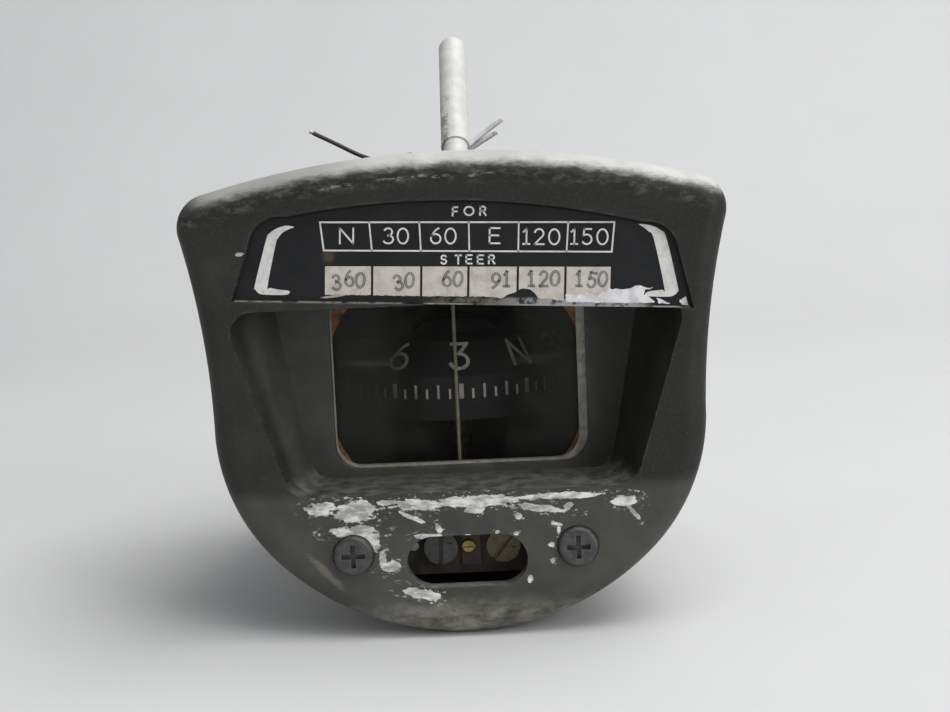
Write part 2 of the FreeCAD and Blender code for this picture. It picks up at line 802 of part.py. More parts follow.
def make_diaphragm_cover():
    y = tail_flange_y + diaphragm_t
    back = y + diaphragm_cover_h
    w = diaphragm_cover_wall
    crown = diaphragm_bore_r + w
    profile = [
        (diaphragm_bore_r, y), (tail_flange_r, y), (tail_flange_r, y + w), (crown, y + w),
        (crown - 1.5, back), (0, back), (0, back - w), (crown - 1.5 - w, back - w),
        (diaphragm_bore_r, y + w)]
    cup = turned_y(profile, capsule_x, capsule_z)
    holes = [disc_y(diaphragm_screw_r, y - 1, y + w + 1, x, z) for x, z in diaphragm_screw_places()]
    vent = disc_y(vent_r, back - 2, back + 1, capsule_x, capsule_z)
    return cup.cut(holes + [vent])


def make_diaphragm_screws():
    y = tail_flange_y + diaphragm_t + diaphragm_cover_wall
    length = diaphragm_screw_len + diaphragm_cover_wall - diaphragm_t
    return [screw(V(x, y, z), V(0, -1, 0), diaphragm_screw_head_r, diaphragm_screw_head_h,
                  diaphragm_screw_r, length, "slot") for x, z in diaphragm_screw_places()]


def filler_disc(radius, x0, x1):
    """Round bar on the filler's axis, from x0 to x1."""
    return rod_between(radius, V(x0, filler_y, capsule_z), V(x1, filler_y, capsule_z))


def make_filler_gasket():
    face = capsule_x - capsule_r - filler_boss_h
    ring = filler_disc(filler_head_r, face, face - filler_gasket_t)
    return ring.cut(filler_disc(filler_plug_r, face + 1, face - 2))


def make_filler_plug():
    seat = capsule_x - capsule_r - filler_boss_h - filler_gasket_t
    head = filler_disc(filler_head_r, seat, seat - filler_head_h)
    stem = filler_disc(filler_plug_r, seat, capsule_x - capsule_bore_r)
    slot = box(seat - filler_head_h - 1, seat - filler_head_h * 0.45, filler_y - 5, filler_y + 5,
               capsule_z - filler_slot_w / 2, capsule_z + filler_slot_w / 2)
    return head.fuse(stem).cut(slot)


# Jewel post and pivot, measured from the pivot

def make_jewel_post():
    profile = [
        (0, bowl_floor - capsule_wall * 0.4), (post_outer_r, bowl_floor - capsule_wall * 0.4),
        (post_outer_r, post_top), (post_bore_r, post_top), (post_bore_r, spring_seat), (0, spring_seat)]
    return turned_z(profile, pivot)


def make_jewel_cup():
    neck = cup_top - cup_head_h
    seat = cup_top - jewel_h
    profile = [
        (0, stem_low), (post_bore_r - cup_fit, stem_low), (post_bore_r - cup_fit, neck), (cup_head_r, neck),
        (cup_head_r, cup_top), (jewel_r, cup_top), (jewel_r, seat), (0, seat)]
    return turned_z(profile, pivot)


def make_jewel():
    profile = [(0, cup_top - jewel_h), (jewel_r, cup_top - jewel_h), (jewel_r, cup_top), (0, cup_top)]
    return turned_z(profile, pivot).cut(Part.makeSphere(tip_r + tip_gap, pivot))


def make_jewel_spring():
    """Coil from the floor of the post's bore to the foot of the cup."""
    mean = post_bore_r - spring_wire_r - spring_side
    height = spring_len - 2 * (spring_wire_r + spring_end)
    foot = pivot.z + spring_seat + spring_wire_r + spring_end
    count = spring_turns * spring_steps
    route = []
    for k in range(count + 1):
        x, y = polar((pivot.x, pivot.y), mean, 2 * math.pi * k / spring_steps)
        route.append((x, y, foot + height * k / count))
    return tube(route, spring_wire_r, "jewel spring")


def make_pivot_tip():
    return Part.makeSphere(tip_r, pivot, V(1, 0, 0))


def make_pivot_pin():
    inner = tip_r + pin_gap
    low = inner * math.cos(math.radians(60))
    profile = [
        (0, low), (inner * math.sin(math.radians(60)), low), (pin_collar_r, low + 0.25),
        (pin_collar_r, hub_low - 0.2), (pin_shank_r, hub_low - 0.05), (pin_shank_r, pin_top - 0.3),
        (pin_shank_r - 0.3, pin_top), (0, pin_top)]
    return turned_z(profile, pivot).cut(Part.makeSphere(inner, pivot))


# Card assembly, measured from the pivot

def make_compass_card():
    t = card_t
    profile = [
        (card_r - t, card_low), (card_r, card_low), (card_r, card_bend), (card_rim_r, card_rim),
        (card_hole_r, card_rim), (card_hole_r, card_rim - t), (card_rim_r - t, card_rim - t),
        (card_r - t, card_bend)]
    return turned_z(profile, pivot)


def card_seat():
    return card_rim - card_t


def make_float_chamber():
    well_low = well_r + (hub_low - float_low) * math.tan(math.radians(well_angle))
    seat = card_seat()
    profile = [
        (pin_shank_r + shaft_fit, hub_low), (well_r, hub_low), (well_low, float_low),
        (float_r - 1.5, float_low), (float_r, float_low + 2.0), (float_r, seat - 1.2),
        (float_r - 1.2, seat), (card_hole_r - 0.2, seat), (card_hole_r - 1.6, seat + float_crown),
        (pin_shank_r + shaft_fit, seat + float_crown)]
    return turned_z(profile, pivot).cut(magnet_bars())


def magnet_bars():
    bars = []
    for side in (-1, 1):
        bar = Part.makeBox(magnet_w, magnet_len, magnet_w, V(
            side * magnet_offset - magnet_w / 2, -magnet_len / 2, float_low - magnet_w + magnet_sink))
        bar.rotate(V(0, 0, 0), V(0, 0, 1), card_heading)
        bar.translate(pivot)
        bars.append(bar)
    return bars


# Compensator

def make_compensator_frame():
    x0, x1 = idler_x[0] - frame_side, idler_x[1] + frame_side
    z0, z1 = adjuster_z - frame_h / 2, adjuster_z + frame_h / 2
    plates = [
        box(x0, x1, frame_y, frame_y + frame_plate_t, z0, z1),
        box(x0, x1, frame_back - frame_plate_t, frame_back, z0, z1),
        box(x0, x1, frame_y, frame_back, z0, z0 + frame_web_t),
        box(x0, x1, frame_y, frame_back, z1 - frame_web_t, z1),
        box(*frame_block_x, frame_y - frame_block_t, frame_y, adjuster_z - frame_block_h / 2,
            adjuster_z + frame_block_h / 2)]
    bore, head_room = shaft_r + shaft_fit, adjuster_head_r + head_clearance
    holes = [disc_y(bore, frame_y - 1, frame_back + 1, x, adjuster_z) for x in adjuster_x + idler_x]
    heads = [disc_y(head_room, frame_y - 2, frame_y, x, adjuster_z) for x in adjuster_x]
    hole = disc_y(comp_screw_r, frame_y - 1, frame_back + 1, comp_screw_x, adjuster_z)
    return joined(plates).cut(holes + heads + [hole])


def make_compensator_screw():
    head = V(comp_screw_x, frame_y - frame_block_t, adjuster_z)
    length = flange_y - head.y
    return screw(head, V(0, 1, 0), comp_screw_head_r, comp_screw_head_h, comp_screw_r, length, "slot")


def make_adjuster(x, slot_angle):
    """Slotted head and shaft; the slot's angle is seen from the front, from upright."""
    y0 = adjuster_head_y
    head = disc_y(adjuster_head_r, y0, y0 + adjuster_head_h, x, adjuster_z)
    shaft = disc_y(shaft_r, y0, frame_back - shaft_short, x, adjuster_z)
    half = adjuster_slot_w / 2
    slot = box(x - half, x + half, y0 - 1, y0 + adjuster_slot_depth, adjuster_z - 9, adjuster_z + 9)
    slot.rotate(V(x, 0, adjuster_z), V(0, 1, 0), slot_angle)
    angle = math.radians(slot_angle + dot_turn)
    reach = adjuster_head_r * dot_place
    dot_x, dot_z = x + reach * math.sin(angle), adjuster_z + reach * math.cos(angle)
    dot = disc_y(dot_r, y0 - 1, y0 + dot_depth, dot_x, dot_z)
    return head.fuse(shaft).cut([slot, dot])


def make_idler_shaft(x):
    return disc_y(shaft_r, frame_y + shaft_short, frame_back - shaft_short, x, adjuster_z)


def make_gear(x, phase):
    """Spur gear on a shaft at x, with straight-sided teeth and a little backlash."""
    tip = gear_pitch_r + gear_module
    root = gear_pitch_r - 1.25 * gear_module
    points = []
    for k in range(gear_teeth):
        centre = phase + 360.0 * k / gear_teeth
        flank = ((root, -tooth_root), (tip, -tooth_tip), (tip, tooth_tip), (root, tooth_root))
        for radius, offset in flank:
            px, pz = polar((x, adjuster_z), radius, math.radians(centre + offset))
            points.append(V(px, gear_y, pz))
    blank = Part.Face(Part.makePolygon(points + points[:1])).extrude(V(0, gear_t, 0))
    return blank.cut(disc_y(shaft_r, gear_y - 1, gear_y + gear_t + 1, x, adjuster_z))


def make_bar_magnet(x, y, angle):
    side, end = bar_w / 2, bar_len / 2
    bar = box(x - side, x + side, y, y + bar_t, adjuster_z - end, adjuster_z + end)
    bar.rotate(V(x, 0, adjuster_z), V(0, 1, 0), angle)
    return bar.cut(disc_y(shaft_r, y - 1, y + bar_t + 1, x, adjuster_z))


# Lamp

def make_lamp_lens():
    return Part.makeCylinder(lens_r - lens_fit, lens_t, V(lamp_x, lamp_y, lens_z + lens_sink))


def make_lamp_bracket():
    half = lamp_arm_w / 2
    arm = box(lamp_x - half, lamp_x + half, lamp_y - half, retainer_y, lamp_arm_z, lamp_arm_z + lamp_arm_t)
    x, z = lamp_screw_place()
    top = z + lamp_plate_over
    plate = box(lamp_x - half, lamp_x + half, retainer_y - lamp_arm_t, retainer_y, lamp_arm_z, top)
    cuts = [Part.makeCylinder(socket_r, 20, V(lamp_x, lamp_y, socket_low)),
            disc_y(lamp_screw_r, lamp_y, retainer_y + 1, x, z)]
    return joined([arm, plate]).cut(cuts)


def make_lamp_bracket_screw():
    x, z = lamp_screw_place()
    length = lamp_arm_t + retainer_screw_len
    return screw(V(x, retainer_y - lamp_arm_t, z), V(0, 1, 0), lamp_screw_head_r, lamp_screw_head_h,
                 lamp_screw_r, length, "slot")


def make_lamp_socket():
    foot = V(lamp_x, lamp_y, socket_low)
    top = socket_low + socket_len
    body = Part.makeCylinder(socket_r, socket_len, foot)
    collar = Part.makeCylinder(socket_collar_r, socket_collar_t, V(lamp_x, lamp_y, lamp_arm_z + lamp_arm_t))
    half = terminal_w / 2
    terminal = box(lamp_x - half, lamp_x + half, lamp_y, lamp_y + terminal_len, top - terminal_h, top)
    bore = Part.makeCylinder(socket_bore_r, socket_len - bulb_room, foot)
    return joined([body, collar, terminal]).cut(bore)


def make_lamp_bulb():
    base_top = socket_low + socket_len - bulb_room
    base = Part.makeCylinder(bulb_base_r, bulb_base_len, V(lamp_x, lamp_y, base_top - bulb_base_len))
    glass_top = base_top - bulb_base_len
    glass = Part.makeCylinder(bulb_r, bulb_len - bulb_r, V(lamp_x, lamp_y, glass_top - bulb_len + bulb_r))
    nose = Part.makeSphere(bulb_r, V(lamp_x, lamp_y, glass_top - bulb_len + bulb_r))
    return joined([base, glass, nose])


# Rod and bracket

def make_mount_rod():
    spigot = rod_between(rod_spigot_r, rod_end, rod_free_start + rod_dir)
    tip = rod_free_start + rod_dir * rod_free_len
    free = rod_between(rod_r, rod_free_start, tip)
    return joined([spigot, free, Part.makeSphere(rod_r, tip)])


def set_screw_seat():
    return rod_end + rod_dir * set_screw_up


def make_rod_set_screw():
    seat = set_screw_seat()
    bar = rod_between(set_screw_r, V(rod_x + rod_spigot_r * 0.9, seat.y, seat.z),
                      V(rod_x + bracket_w / 2, seat.y, seat.z))
    side = rod_x + bracket_w / 2
    half = set_screw_slot_w / 2
    slot = box(side - set_screw_slot_h, side + 1, seat.y - half, seat.y + half, seat.z - 2, seat.z + 2)
    return bar.cut([slot, make_mount_rod()])


def make_rod_bracket():
    block = box(rod_x - bracket_w / 2, rod_x + bracket_w / 2, bracket_y, bracket_y + bracket_len,
                pad_z, pad_z + bracket_h)
    seat = set_screw_seat()
    cuts = [rod_between(rod_spigot_r, rod_end, rod_exit),
            rod_between(set_screw_r, V(rod_x, seat.y, seat.z), V(rod_x + bracket_w, seat.y, seat.z))]
    for x, y in bracket_screw_places():
        cuts.append(rod_between(bracket_screw_r, V(x, y, pad_z - 1), V(x, y, pad_z + bracket_h)))
        cuts.append(rod_between(bracket_screw_head_r, V(x, y, pad_z + bracket_h - bracket_screw_head_h),
                                V(x, y, pad_z + bracket_h + 1)))
    return block.cut(cuts)


def make_bracket_screws():
    z = pad_z + bracket_h - bracket_screw_head_h
    return [screw(V(x, y, z), V(0, 0, -1), bracket_screw_head_r, bracket_screw_head_h,
                  bracket_screw_r, bracket_screw_len, "slot") for x, y in bracket_screw_places()]


# Grommet and leads

def make_grommet(leads):
    flange = Part.makeCylinder(grommet_flange_r, grommet_flange_t, V(grommet_x, grommet_y, grommet_z))
    neck = Part.makeCylinder(grommet_r, grommet_neck, V(grommet_x, grommet_y, grommet_z - grommet_neck))
    low = grommet_z - grommet_neck - grommet_foot_t
    foot = Part.makeCylinder(grommet_foot_r, grommet_foot_t, V(grommet_x, grommet_y, low))
    return joined([flange, neck, foot]).cut(leads)


def build():
    """Every sub-part by its node name, in the case frame; a list is a group of separate solids."""
    lamp_leads = [
        tube(black_inner_route, black_lead_r, "lamp lead, black"),
        tube(white_a_inner_route, white_lead_r, "lamp lead, white a"),
        tube(white_b_inner_route, white_lead_r, "lamp lead, white b")]
    parts = {
        "front_cover": make_front_cover(),
        "rear_cover": make_rear_cover(),
        "cover_screws": make_cover_screws(),
        "rear_cover_screws": make_rear_cover_screws(),
        "deviation_card": make_deviation_card(),
        "capsule_body": make_capsule_body(),
        "window_retainer": make_window_retainer(),
        "retainer_screws": make_retainer_screws(),
        "window_gasket": make_window_gasket(),
        "window_glass": make_window_glass(),
        "lubber_line": make_lubber_line(),
        "expansion_diaphragm": make_expansion_diaphragm(),
        "diaphragm_cover": make_diaphragm_cover(),
        "diaphragm_screws": make_diaphragm_screws(),
        "filler_plug": make_filler_plug(),
        "filler_gasket": make_filler_gasket(),
        "jewel_post": make_jewel_post(),
        "jewel_spring": make_jewel_spring(),
        "jewel_cup": make_jewel_cup(),
        "jewel": make_jewel(),
        "pivot_tip": make_pivot_tip(),
        "pivot_pin": make_pivot_pin(),
        "float_chamber": make_float_chamber(),
        "compass_card": make_compass_card(),
        "card_magnets": magnet_bars(),
        "compensator_frame": make_compensator_frame(),
        "compensator_screw": make_compensator_screw(),
        "lamp_lens": make_lamp_lens(),
        "lamp_bracket": make_lamp_bracket(),
        "lamp_bracket_screw": make_lamp_bracket_screw(),
        "lamp_socket": make_lamp_socket(),
        "lamp_bulb": make_lamp_bulb(),
        "lamp_leads": lamp_leads,
        "mount_rod": make_mount_rod(),
        "rod_bracket": make_rod_bracket(),
        "rod_bracket_screws": make_bracket_screws(),
        "rod_set_screw": make_rod_set_screw(),
        "wire_grommet": make_grommet(lamp_leads),
        "black_lead": tube(black_route, black_lead_r, "black lead"),
        "white_lead_a": tube(white_a_route, white_lead_r, "white lead a"),
        "white_lead_b": tube(white_b_route, white_lead_r, "white lead b")}
    for side, name, slot_angle in ((0, "ew", 4.0), (1, "ns", 38.0)):
        drive, idler = adjuster_x[side], idler_x[side]
        parts[name + "_adjuster"] = make_adjuster(drive, slot_angle)
        parts[name + "_drive_gear"] = make_gear(drive, 0)
        parts[name + "_drive_magnet"] = make_bar_magnet(drive, drive_bar_y, slot_angle)
        parts[name + "_idler_shaft"] = make_idler_shaft(idler)
        parts[name + "_idler_gear"] = make_gear(idler, 180.0 / gear_teeth)
        parts[name + "_idler_magnet"] = make_bar_magnet(idler, idler_bar_y, -slot_angle)
    return parts


def save(name, shape):
    """Move a sub-part from the case frame to the row's origin on the rod and write its file."""
    solids = shape if isinstance(shape, list) else shape.Solids
    placed = []
    for solid in solids:
        for one in solid.Solids:
            copy = one.copy()
            copy.translate(origin * -1)
            placed.append(copy)
    whole = placed[0] if len(placed) == 1 else Part.makeCompound(placed)
    whole.exportStep("parts/%s.step" % name)
    bounds = whole.BoundBox
    print("%-22s solids %d valid %s volume %9.2f x %6.1f %6.1f y %6.1f %6.1f z %6.1f %6.1f" % (
        name, len(placed), whole.isValid(), whole.Volume, bounds.XMin, bounds.XMax,
        bounds.YMin, bounds.YMax, bounds.ZMin, bounds.ZMax))


for part_name, part_shape in build().items():
    save(part_name, part_shape)
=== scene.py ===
import math
import random

import bmesh
import bpy
from mathutils import Matrix, Vector


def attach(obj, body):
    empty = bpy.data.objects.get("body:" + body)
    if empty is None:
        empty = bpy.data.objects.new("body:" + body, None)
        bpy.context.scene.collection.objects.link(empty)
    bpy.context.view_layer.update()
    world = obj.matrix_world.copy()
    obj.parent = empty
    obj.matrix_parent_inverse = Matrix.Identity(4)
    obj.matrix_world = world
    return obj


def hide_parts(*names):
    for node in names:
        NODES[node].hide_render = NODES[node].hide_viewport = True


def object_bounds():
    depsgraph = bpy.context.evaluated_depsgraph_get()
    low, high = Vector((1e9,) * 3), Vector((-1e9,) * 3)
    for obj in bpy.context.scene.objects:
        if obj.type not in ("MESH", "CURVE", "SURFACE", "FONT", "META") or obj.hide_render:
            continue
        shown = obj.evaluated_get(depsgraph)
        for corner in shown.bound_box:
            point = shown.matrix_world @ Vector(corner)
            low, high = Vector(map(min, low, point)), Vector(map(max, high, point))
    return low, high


# Aircraft compass: finishes, printed and painted marks, leads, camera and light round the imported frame.
# The case frame has x to the right, y towards the back and z up, in millimetres, as in the part's source.

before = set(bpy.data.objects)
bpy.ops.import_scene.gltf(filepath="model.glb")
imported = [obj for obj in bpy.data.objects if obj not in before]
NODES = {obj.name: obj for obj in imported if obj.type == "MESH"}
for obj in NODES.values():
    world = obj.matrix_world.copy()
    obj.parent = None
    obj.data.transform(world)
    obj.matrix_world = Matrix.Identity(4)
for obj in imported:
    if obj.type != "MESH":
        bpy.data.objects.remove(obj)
cad_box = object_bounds()
CASE_ZERO = Vector((-0.9, -45.17578, -45.68222))
PIVOT = Vector((-0.6, 42.0, -2.5))
BORE = 25.6
CROWN_BOW = 300


def at(x, y, z):
    """Point of the case frame, in millimetres, as a point of the row frame in metres."""
    return (Vector((x, y, z)) + CASE_ZERO) / 1000


# Nodes of a material

class Finish:
    """A material under construction, with short calls for its nodes."""

    def __init__(self, name):
        self.material = bpy.data.materials.new(name)
        self.material.use_nodes = True
        self.tree = self.material.node_tree
        self.tree.nodes.clear()
        self.shader = self.node("BsdfPrincipled")
        self.tree.links.new(self.shader.outputs[0], self.node("OutputMaterial").inputs[0])
        self.millimetres = self.case_place()

    def node(self, kind, **settings):
        made = self.tree.nodes.new("ShaderNode" + kind)
        for name, value in settings.items():
            setattr(made, name, value)
        return made

    def put(self, socket, value):
        if isinstance(value, bpy.types.NodeSocket):
            self.tree.links.new(value, socket)
        elif isinstance(value, (tuple, list)) and len(value) == 3 and socket.type == "RGBA":
            socket.default_value = (*value, 1)
        else:
            socket.default_value = value

    def calc(self, operation, a, b=0.0, c=0.0):
        made = self.node("Math", operation=operation)
        for socket, value in zip(made.inputs, (a, b, c)):
            self.put(socket, value)
        return made.outputs[0]

    def product(self, first, *others):
        """All the factors multiplied together."""
        for factor in others:
            first = self.calc("MULTIPLY", first, factor)
        return first

    def case_place(self):
        """Object coordinates turned into millimetres of the case frame."""
        made = self.node("VectorMath", operation="MULTIPLY_ADD")
        self.put(made.inputs[0], self.node("TexCoord").outputs["Object"])
        made.inputs[1].default_value = (1000, 1000, 1000)
        made.inputs[2].default_value = -CASE_ZERO
        return made.outputs[0]

    def xyz(self):
        made = self.node("SeparateXYZ")
        self.put(made.inputs[0], self.millimetres)
        return made.outputs[0], made.outputs[1], made.outputs[2]

    def noise(self, size, detail=4.0, rough=0.55, stretch=(1, 1, 1), shift=0.0):
        """Noise whose blotches are about size millimetres wide; stretch lengthens them along an axis."""
        moved = self.node("Mapping", vector_type="TEXTURE")
        self.put(moved.inputs["Vector"], self.millimetres)
        moved.inputs["Location"].default_value = (shift, shift * 1.7, shift * 0.6)
        moved.inputs["Scale"].default_value = [size * s for s in stretch]
        made = self.node("TexNoise")
        self.put(made.inputs["Vector"], moved.outputs[0])
        made.inputs["Scale"].default_value = 1.0
        made.inputs["Detail"].default_value = detail
        made.inputs["Roughness"].default_value = rough
        return made.outputs[0]

    def between(self, value, low, high):
        """0 below low, 1 above high, smooth between; high may be the lower one to turn it round."""
        made = self.node("MapRange", interpolation_type="SMOOTHSTEP")
        self.put(made.inputs["Value"], value)
        made.inputs["From Min"].default_value = min(low, high)
        made.inputs["From Max"].default_value = max(low, high)
        made.inputs["To Min"].default_value = 0.0 if low < high else 1.0
        made.inputs["To Max"].default_value = 1.0 if low < high else 0.0
        return made.outputs[0]

    def window(self, value, start, full, fade, end):
        """1 from full to fade, and 0 below start and above end."""
        return self.product(self.between(value, start, full), self.between(value, end, fade))

    def mixed(self, share, a, b):
        made = self.node("Mix", data_type="RGBA")
        self.put(made.inputs[0], share)
        self.put(made.inputs[6], a)
        self.put(made.inputs[7], b)
        return made.outputs[2]

    def over(self, color, tint, share, strength):
        """The colour with the tint laid over it where share is high."""
        return self.mixed(self.calc("MULTIPLY", share, strength), color, tint)

    def blotch(self, field, centre, radii, turn=0.0):
        """Distance from an ellipse's middle in its own radii, kept where it is less than the field so far."""
        moved = self.node("Mapping", vector_type="TEXTURE")
        self.put(moved.inputs["Vector"], self.millimetres)
        moved.inputs["Location"].default_value = (centre[0], 0, centre[1])
        moved.inputs["Rotation"].default_value = (0, math.radians(-turn), 0)
        moved.inputs["Scale"].default_value = (radii[0], 500, radii[1])
        length = self.node("VectorMath", operation="LENGTH")
        self.put(length.inputs[0], moved.outputs[0])
        found = length.outputs["Value"]
        return found if field is None else self.calc("MINIMUM", field, found)

    def edges(self, radius, low, high):
        """1 on sharp edges, from the angle between the plain and the rounded normal."""
        rounded = self.node("Bevel", samples=6)
        rounded.inputs["Radius"].default_value = radius / 1000
        plain = self.node("NewGeometry")
        dot = self.node("VectorMath", operation="DOT_PRODUCT")
        self.put(dot.inputs[0], rounded.outputs[0])
        self.put(dot.inputs[1], plain.outputs["Normal"])
        return self.between(dot.outputs["Value"], high, low)

    def bump(self, height, depth):
        """Bump of the given depth in millimetres."""
        made = self.node("Bump")
        made.inputs["Strength"].default_value = 1.0
        made.inputs["Distance"].default_value = depth / 1000
        self.put(made.inputs["Height"], height)
        self.put(self.shader.inputs["Normal"], made.outputs[0])

    def look(self, color, roughness, metal=0.0, specular=None):
        self.put(self.shader.inputs["Base Color"], color)
        self.put(self.shader.inputs["Roughness"], roughness)
        self.put(self.shader.inputs["Metallic"], metal)
        if specular is not None:
            self.put(self.shader.inputs["Specular IOR Level"], specular)
        return self.material


def speckled(name, dark, light, roughness, metal, size, grain, depth, stretch=(1, 1, 1)):
    """Plain finish with cloudy colour, a fine grain and uneven gloss."""
    f = Finish(name)
    cloud = f.noise(size, 6, stretch=stretch)
    fine = f.noise(grain, 3, shift=3, stretch=stretch)
    both = f.calc("MULTIPLY_ADD", fine, 0.35, f.calc("MULTIPLY", cloud, 0.65))
    color = f.mixed(f.between(both, 0.32, 0.68), dark, light)
    f.bump(fine, depth)
    return f.look(color, f.calc("MULTIPLY_ADD", cloud, 0.3, roughness - 0.15), metal)


# Finishes of the case

def cover_finish(front):
    """Dark paint gone grey and dusty; on the front it is worn, and white paint is left below. The front also
    gets painted shade on its right side and top, painted light in the recess and a painted reflection along
    the crown.
    """
    f = Finish("cover_paint_front" if front else "cover_paint_rear")
    x, y, z = f.xyz()
    cloud = f.noise(9, 6, 0.6)
    fine = f.noise(0.5, 5, 0.65, shift=5)
    pits = f.noise(0.22, 2, 0.5, shift=9)
    fore = f.between(y, 9.0, 1.0)
    grey = 0.15
    color = f.mixed(f.between(cloud, 0.35, 0.7), (0.0125, 0.0125, 0.0095), (0.023, 0.023, 0.018))
    if front:
        # Painted shade: the front is darkened near the top and on its right side, where the recess slope
        # faces away from the lamps.
        painted_shade = f.calc("MAXIMUM", f.between(z, 24.0, 30.0), f.between(x, 14.0, 34.0))
        color = f.over(color, (0.004, 0.004, 0.003), f.product(painted_shade, fore), 0.5)
        # Painted light: the recess, except its right side, is made greyer and lighter to make up for the dim
        # light inside it. The greyer lower panel and the rear keep the paint's own tone.
        recess = f.product(f.between(y, -3.0, 1.0), f.between(x, 26.0, 17.0))
        lower = f.product(f.between(z, -15.5, -18.5), f.calc("MULTIPLY_ADD", fore, 0.8, 0.2))
        grey = f.calc("MAXIMUM", lower, recess)
    greyer = f.mixed(f.between(cloud, 0.35, 0.7), (0.042, 0.042, 0.036), (0.064, 0.063, 0.055))
    color = f.mixed(grey, color, greyer)
    color = f.over(color, (0.085, 0.083, 0.074), f.between(fine, 0.5, 0.75), 0.28)
    normal = f.node("SeparateXYZ")
    f.put(normal.inputs[0], f.node("NewGeometry").outputs["Normal"])
    up = f.between(normal.outputs[2], 0.15, 0.95)
    dust = f.product(up, f.between(f.noise(3, 6, 0.65, shift=2), 0.3, 0.7))
    color = f.over(color, (0.20, 0.195, 0.17), dust, 0.7)
    height = f.calc("MULTIPLY_ADD", pits, 0.4, f.calc("MULTIPLY", fine, 0.6))
    if front:
        scuffs = f.noise(1.4, 7, 0.7, shift=14, stretch=(2.4, 1, 0.8))
        worn = f.product(f.edges(1.1, 0.80, 0.985), f.between(scuffs, 0.45, 0.68))
        color = f.over(color, (0.20, 0.195, 0.18), worn, 0.22)
        color = crown_wear_and_sheen(f, color, cloud, fore)
        color = bottom_wear(f, color)
        flakes, paint = white_paint(f)
        color = f.mixed(flakes, color, paint)
        height = f.calc("MULTIPLY_ADD", flakes, 1.2, height)
    f.bump(height, 0.05)
    return f.look(color, f.calc("MULTIPLY_ADD", fine, 0.25, 0.42), specular=0.35)


def crown_wear_and_sheen(f, color, cloud, fore):
    """Pale band along the crown, partly worn paint and partly a painted reflection of the overhead light; a
    thin red line behind its ridge, and scratches and smudges below it.
    """
    x, y, z = f.xyz()
    crown = f.calc("ADD", z, f.product(x, x, 1 / CROWN_BOW))
    soft = f.noise(1.5, 8, 0.72, shift=21, stretch=(2.6, 1, 1))
    ragged_crown = f.calc("ADD", crown, f.calc("MULTIPLY_ADD", soft, 3.2, -1.6))
    # Painted reflection: the pale band on the crown stands for the overhead light mirrored at a grazing
    # angle, mottled by worn paint. It is dimmer towards the left.
    rim = f.product(f.between(ragged_crown, 34.6, 36.5), f.between(y, 34.0, 12.0), f.between(x, -43.0, -37.0))
    pale = f.mixed(f.between(cloud, 0.35, 0.65), (0.43, 0.425, 0.40), (0.56, 0.55, 0.53))
    pale = f.over(pale, (0.20, 0.195, 0.18), f.between(x, -2.0, -26.0), 0.62)
    bare = f.between(f.noise(2.4, 7, 0.7, shift=27, stretch=(3.0, 1, 1)), 0.60, 0.72)
    pale = f.over(pale, (0.16, 0.155, 0.14), bare, 0.45)
    color = f.mixed(rim, color, pale)
    broken = f.between(f.noise(1.6, 5, 0.6, shift=31, stretch=(4, 1, 1)), 0.42, 0.50)
    line = f.product(f.window(y, 23.2, 23.8, 24.6, 25.2), f.window(x, -26.0, -20.0, 0.0, 4.0), broken)
    color = f.over(color, (0.14, 0.065, 0.05), line, 0.8)
    wavy = f.calc("ADD", crown, f.calc("MULTIPLY_ADD", f.noise(2.6, 4, 0.6, shift=35), 1.6, -0.8))
    broken = f.between(f.noise(0.9, 7, 0.75, shift=37, stretch=(3, 1, 1)), 0.48, 0.60)
    place = f.product(f.window(wavy, 33.25, 33.45, 33.65, 33.85), f.window(x, -26.0, -22.0, 2.0, 12.0), fore)
    color = f.over(color, (0.36, 0.355, 0.33), f.product(place, broken), 0.55)
    broken = f.between(f.noise(1.3, 8, 0.75, shift=39, stretch=(2, 1, 1)), 0.46, 0.68)
    smudge = f.product(f.window(crown, 31.6, 33.4, 34.0, 35.4), broken, fore)
    return f.over(color, (0.22, 0.215, 0.20), smudge, 0.30)


def bottom_wear(f, color):
    """Paint rubbed to a dull tan along the bottom rim, and a streak low on the left."""
    x, y, z = f.xyz()
    down = f.between(f.calc("MULTIPLY_ADD", f.calc("ABSOLUTE", x), 0.42, z), -24.0, -35.0)
    rounding = f.window(y, -4.85, -3.9, 0.0, 4.0)
    rubbed = f.noise(2.4, 7, 0.68, shift=40, stretch=(2.2, 1, 0.8))
    share = f.product(f.calc("MAXIMUM", rounding, f.between(z, -33.5, -38.5)), down)
    share = f.product(share, f.between(rubbed, 0.30, 0.62))
    tone = f.between(f.noise(2.2, 5, 0.6, shift=44), 0.3, 0.7)
    color = f.over(color, f.mixed(tone, (0.16, 0.155, 0.125), (0.33, 0.315, 0.26)), share, 0.80)
    streak = f.blotch(None, (-23.0, -29.5), (1.0, 5.0), 42)
    streak = f.between(f.calc("ADD", streak, f.calc("MULTIPLY_ADD", rubbed, 1.6, -0.8)), 1.0, 0.5)
    return f.over(color, (0.17, 0.155, 0.12), streak, 0.6)


def white_paint(f):
    """Where white paint is left on the front, and its colour."""
    x, y, z = f.xyz()
    field = None
    for centre, radii, turn in WHITE_PAINT:
        field = f.blotch(field, centre, radii, turn)
    torn = f.calc("MULTIPLY_ADD", f.noise(1.3, 8, 0.66, shift=52, stretch=(1.5, 1, 0.8)), 2.2, -1.1)
    torn = f.calc("ADD", field, torn)
    crumbs = f.between(f.noise(0.55, 7, 0.72, shift=57, stretch=(1.8, 1, 1)), 0.565, 0.60)
    crumbs = f.product(crumbs, f.between(torn, 2.1, 1.4), 0.8)
    flakes = f.product(f.calc("MAXIMUM", f.between(torn, 1.0, 0.93), crumbs), f.between(y, -3.2, -4.4))
    thick = f.between(f.noise(1.6, 7, 0.7, shift=61, stretch=(2.5, 1, 1)), 0.40, 0.60)
    return flakes, f.mixed(thick, (0.30, 0.295, 0.28), (0.74, 0.73, 0.70))


